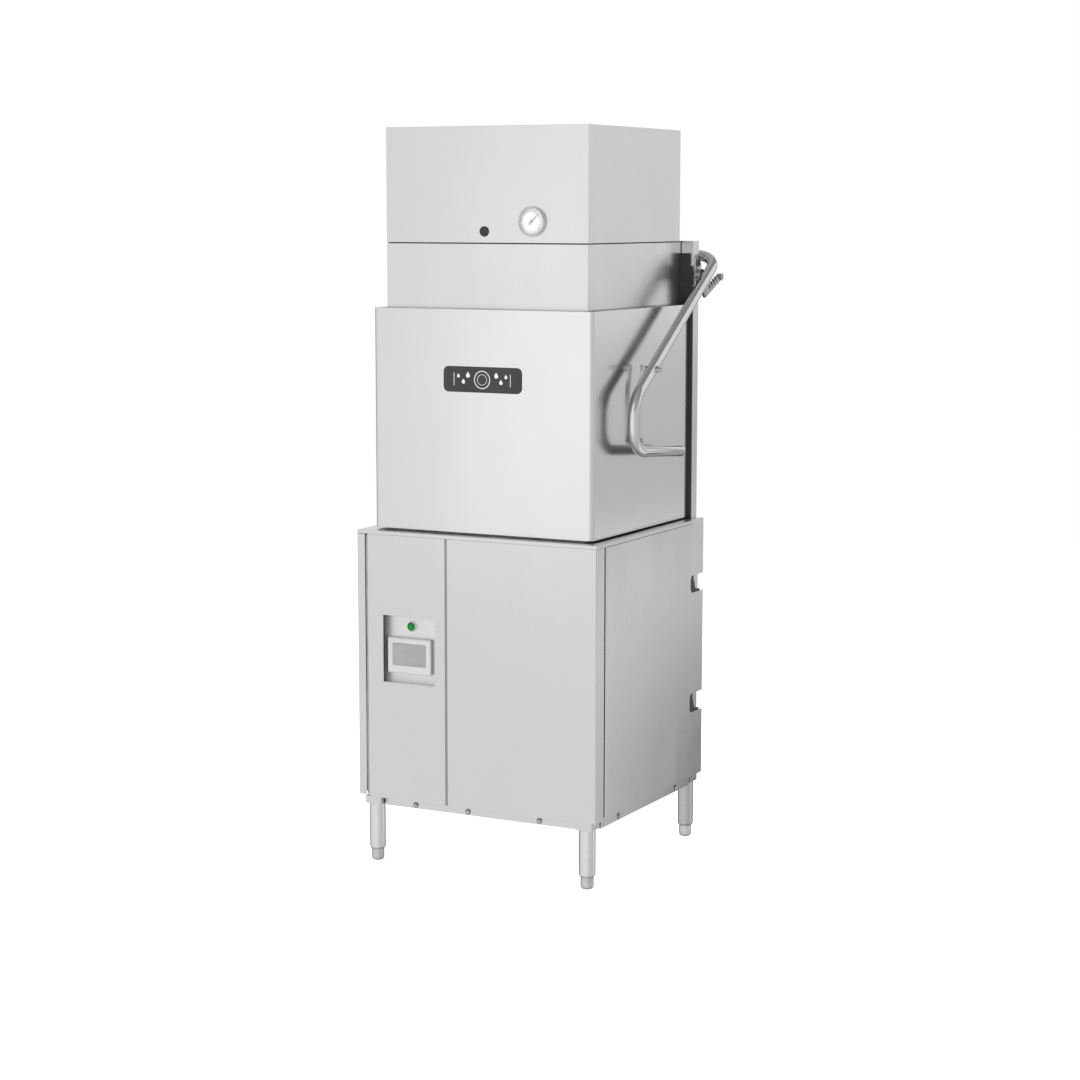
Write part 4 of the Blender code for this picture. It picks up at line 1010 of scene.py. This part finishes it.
def camera():
    """Long lens and level horizon, looking down a little from the front right."""
    yaw, pitch, roll = (math.radians(a) for a in (-27.498, -7.606, 0.051))
    ahead = Vector((math.sin(yaw) * math.cos(pitch), math.cos(yaw) * math.cos(pitch), math.sin(pitch)))
    level = Vector((math.cos(yaw), -math.sin(yaw), 0.0))
    up = level.cross(ahead)
    right = level * math.cos(roll) + up * math.sin(roll)
    over = up * math.cos(roll) - level * math.sin(roll)
    data = bpy.data.cameras.new("camera")
    data.lens, data.sensor_width = 81.96, 36.0
    data.clip_start, data.clip_end = 0.05, 100.0
    view = bpy.data.objects.new("camera", data)
    bpy.context.collection.objects.link(view)
    turn = Matrix((right, over, -ahead)).transposed().to_4x4()
    view.matrix_world = Matrix.Translation((2.9425, -5.6804, 1.6670)) @ turn
    bpy.context.scene.camera = view


# Grey levels of the studio round the machine: 0.5 is straight ahead of its front, 0.75 its right.
LOW_RING = [(0.0, 0.40), (0.07, 0.16), (0.17, 0.20), (0.28, 0.86), (0.42, 0.97), (0.52, 1.00),
            (0.68, 0.74), (0.83, 0.62), (0.91, 0.52), (0.95, 0.42)]
HIGH_RING = [(0.0, 0.95), (0.07, 1.0), (0.17, 0.95), (0.30, 0.90), (0.42, 0.97), (0.52, 1.00),
             (0.68, 0.74), (0.83, 0.62), (0.91, 0.60), (0.95, 0.60)]
ELEVATION = [(0.0, 0.7), (0.35, 1.0), (0.58, 1.0), (0.75, 0.55), (1.0, 0.45)]
LAMPS = [("key_light", (-2.6, -3.6, 3.2), (2.2, 2.2), 90.0),
         ("fill_light", (3.4, -2.2, 2.6), (1.8, 2.4), 35.0),
         ("top_light", (0.0, 0.2, 4.2), (2.5, 2.5), 60.0)]
CARDS = [("front_card", [(-1.35, -2.6, 0.45), (1.0, -2.6, 0.45), (1.0, -2.6, 3.4), (-1.35, -2.6, 3.4)],
          [(0.45, 1.18), (1.5, 1.22), (2.2, 1.14), (3.4, 1.10)]),
         ("side_card", [(1.5, 0.2, -0.9), (1.5, 4.4, -0.9), (1.5, 4.4, 3.2), (1.5, 0.2, 3.2)],
          [(-0.9, 0.77), (-0.5, 0.86), (0.0, 0.95), (0.42, 0.97), (0.62, 0.62), (1.15, 0.68), (1.34, 0.90),
           (3.2, 0.96)], (0.02, 1.0))]

skins()
condenser()
legs()
fasteners()
trims()
weld_dimples()
controls()
gauge()
badge()
handle()
for where, way in SIDES.items():
    coil_spring(where, way)
tank_fittings()
studio()
camera()
bpy.context.scene.view_settings.view_transform = "Standard"
